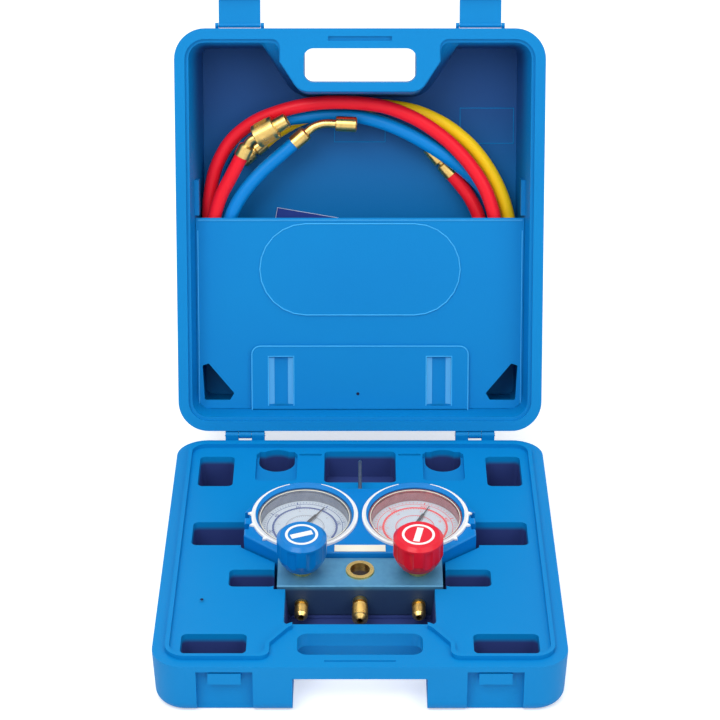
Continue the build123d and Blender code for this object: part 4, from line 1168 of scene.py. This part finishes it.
@dataclass
class VentHoles:
    """Small near-black discs on the tray and on the lid's panel: painted shade where two small moulding vent holes
    are.
    """

    radius: float = 1.5
    thick: float = 0.05
    tray: Triple = (-133.0, -90.0, 48.02)
    panel: Triple = (-2.0, 35.0, 19.96)

    def build(self) -> List[Piece]:
        """Builds both vents.

        Returns:
            The two discs.
        """
        disc = arc_points((0.0, 0.0), self.radius, start=0, end=345, steps=23)
        outwards = Matrix.Rotation(math.pi - OPEN_ANGLE, 4, "X")
        vents = (("tray_vent", "case", Matrix.Translation(Vector(self.tray) * MM)),
                 ("panel_vent", "lid", Matrix.Translation(lid_point(*self.panel)) @ outwards))
        return [settled(prism_piece(name, disc, 0.0, self.thick, place, VENT_SHADE), body)
                for name, body, place in vents]


@dataclass
class NutKnurl:
    """Straight knurl round the big hose nut."""

    nut: str = "nut_red_manifold"
    radius: float = 10.9
    count: int = 40
    long: float = 0.7
    wide: float = 0.8
    high: float = 13.0
    along: float = 6.0

    def build(self) -> Piece:
        """Builds the knurl on the nut's own axis.

        Returns:
            The ridges as one mesh.
        """
        joint = next(j for j in frame["joints"] if j["child"] == self.nut)
        turn = Vector(joint["axis"]).to_track_quat("Z", "Y").to_matrix().to_4x4()
        ridges = grown(f"{self.nut}_knurl", ring_of_bars, {
            "Count": self.count, "Radius": self.radius * MM, "Start": 0.0,
            "Sweep": math.tau * (self.count - 1) / self.count, "Long": self.long * MM,
            "Wide": self.wide * MM, "High": self.high * MM, "Along": self.along * MM},
            Matrix.Translation(Vector(joint["pos_m"])) @ turn, BRASS)
        return settled(ridges, self.nut)


@dataclass
class PointerBlade(GaugePart):
    """Dark tapered blade printed on each gauge's pointer."""

    tail: float = -3.0
    reach: float = 18.0
    half: float = 1.7
    tip: float = 1.3
    low: float = -4.79
    high: float = -4.6
    angles: Dict[str, float] = field(default_factory=lambda: {"left": 57.0, "right": 65.0})

    def build(self) -> Piece:
        """Builds one blade over the pointer's needle.

        Returns:
            The blade.
        """
        turn = Matrix.Rotation(math.radians(self.angles[self.side]), 4, "Z")
        outline = ((self.tail, -self.half), (self.reach, -self.tip), (self.reach, self.tip),
                   (self.tail, self.half))
        blade = prism_piece(f"pointer_blade_{self.side}", outline, self.low, self.high, self.place() @ turn, POINTER)
        return settled(blade, f"pointer_{self.side}")


@dataclass(frozen=True)
class PortThread:
    """Thread crests on one port of the block: place, radius, start and pitch in millimetres."""

    name: str
    across: float
    h: float
    radius: float
    start: float
    count: int
    pitch: float = 1.27
    crest: float = 0.28

    def build(self) -> Piece:
        """Builds the crests.

        Returns:
            The crests as one mesh.
        """
        place = manifold_matrix(self.across, -self.start, self.h) @ Matrix.Rotation(math.pi / 2, 4, "X")
        crests = grown(f"port_thread_{self.name}", thread_crests, {
            "Count": self.count, "Radius": self.radius * MM, "Pitch": self.pitch * MM,
            "Crest": self.crest * MM}, place, BRASS)
        return settled(crests, "manifold")


@dataclass(frozen=True)
class Lamp:
    """Soft area lamp: place and side in metres, power in watts."""

    name: str
    place: Triple
    size: float
    power: float

    def build(self, target: Vector) -> None:
        """Hangs the lamp.

        Args:
            target: the point that it looks at.
        """
        light = bpy.data.lights.new(self.name, "AREA")
        light.size = self.size
        light.energy = self.power
        lamp = linked(self.name, light)
        lamp.location = self.place
        lamp.rotation_euler = (target - Vector(self.place)).to_track_quat("-Z", "Y").to_euler()


@dataclass
class Studio:
    """Pale floor, soft light and the camera."""

    lens: float = 125.14
    sensor: float = 36.0
    camera_place: Triple = (0.0, -1.86587, 1.19494)
    pitch_down: float = 27.393
    view_reach: float = 50.0
    floor_half: float = 4.0
    floor_z: float = -0.0002
    floor_rough: float = 0.9
    floor_glow: float = 0.42
    room_light: float = 0.55
    target: Triple = (0.0, 0.05, 0.15)
    lamps: Sequence[Lamp] = (Lamp("key", (-0.9, -1.6, 2.2), 1.6, 34.0), Lamp("fill", (1.3, -1.4, 1.6), 1.8, 16.0),
                             Lamp("top", (0.0, 0.3, 2.4), 1.6, 16.0))

    def floor(self) -> None:
        """Lays a pale floor that shows plain white to the camera and keeps the object's shadow."""
        half = self.floor_half
        corners = [Vector((x, y, self.floor_z)) for x, y in
                   ((-half, -half), (half, -half), (half, half), (-half, half))]
        finish = Finish("pale_floor", (0.9, 0.9, 0.9))
        floor = mesh_piece("floor", corners, [[0, 1, 2, 3]], finish)
        wires = Wiring(material_of(finish).node_tree)
        rays = wires.add("ShaderNodeLightPath").outputs
        shader = wires.tree.nodes["Principled BSDF"].inputs
        for label, value in (("Roughness", self.floor_rough), ("Specular IOR Level", 0.0),
                             ("Emission Color", (1.0, 1.0, 1.0, 1.0)),
                             ("Emission Strength", wires.math("MULTIPLY", rays["Is Camera Ray"], self.floor_glow))):
            wires.feed(shader[label], value)

    def world(self) -> None:
        """Soft even light from all round, white where the background shows, reflects or shines through."""
        world = bpy.data.worlds.new("soft_room")
        world.use_nodes = True
        wires = Wiring(world.node_tree)
        rays = wires.add("ShaderNodeLightPath").outputs
        shown = wires.math("MAXIMUM", rays["Is Camera Ray"], rays["Is Glossy Ray"])
        shown = wires.math("MAXIMUM", shown, rays["Is Transmission Ray"])
        strength = wires.math("MULTIPLY_ADD", shown, 1.0 - self.room_light, self.room_light)
        background = world.node_tree.nodes["Background"].inputs
        wires.feed(background["Strength"], strength)
        wires.feed(background["Color"], (1.0, 1.0, 1.0, 1.0))
        bpy.context.scene.world = world

    def camera(self) -> None:
        """Places the camera."""
        data = bpy.data.cameras.new("camera")
        data.lens = self.lens
        data.sensor_width = self.sensor
        data.clip_end = self.view_reach
        camera = linked("camera", data)
        camera.location = self.camera_place
        camera.rotation_euler = (math.radians(90.0 - self.pitch_down), 0.0, 0.0)
        bpy.context.scene.camera = camera

    def build(self) -> None:
        """Sets up the whole studio."""
        self.floor()
        self.world()
        for lamp in self.lamps:
            lamp.build(Vector(self.target))
        self.camera()
        bpy.context.scene.view_settings.view_transform = "Standard"


def dress_frame() -> None:
    """Gives every CAD node its finish, through its object's material slots."""
    for node, piece in frame["nodes"].items():
        finish = next(finish for finish, starts in FINISHES.items() if node.startswith(starts))
        if not piece.material_slots:
            piece.data.materials.append(None)
        for slot in piece.material_slots:
            slot.link = "OBJECT"
            slot.material = material_of(finish)
    LOG.info("dressed %d solid pieces", len(frame["nodes"]))


def main() -> None:
    """Builds every sub-assembly in order and reports it."""
    dress_frame()
    left = DialPrint("left", -1, INK_BLUE, INK_GREY, (0, 20, 40, 60, 80, 100, 120), (0, 2, 4, 6, 8))
    right = DialPrint("right", 1, INK_RED, INK_RED, (0, 100, 200, 300, 400, 500), (0, 7, 14, 21, 28, 35))
    for dial in (left, right):
        LOG.info("dial %s: %d printed pieces", dial.side, len(dial.build()))
    for side, sign in SIDES:
        LOG.info("ring %s: %d tabs", side, len(RingTeeth(side, sign).build()))
        LOG.info("pointer: %s", PointerBlade(side, sign).build().name)
        LOG.info("bezel %s: %d pieces", side, len(RingBezel(side, sign).build()))
    LOG.info("card: %d pieces", len(PocketCard().build()))
    LOG.info("panel: %d moulded lines", len(PanelLines().build()))
    LOG.info("vents: %d", len(VentHoles().build()))
    LOG.info("knurl: %s", NutKnurl().build().name)
    for thread in (PortThread("left", -50.0, -19.0, 5.55, 7.2, 7), PortThread("right", 50.0, -19.0, 5.55, 7.2, 7),
                   PortThread("centre", 0.0, -16.0, 6.6, 9.2, 11)):
        LOG.info("thread: %s", thread.build().name)
    Studio().build()
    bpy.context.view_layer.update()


if __name__ == "__main__":
    main()
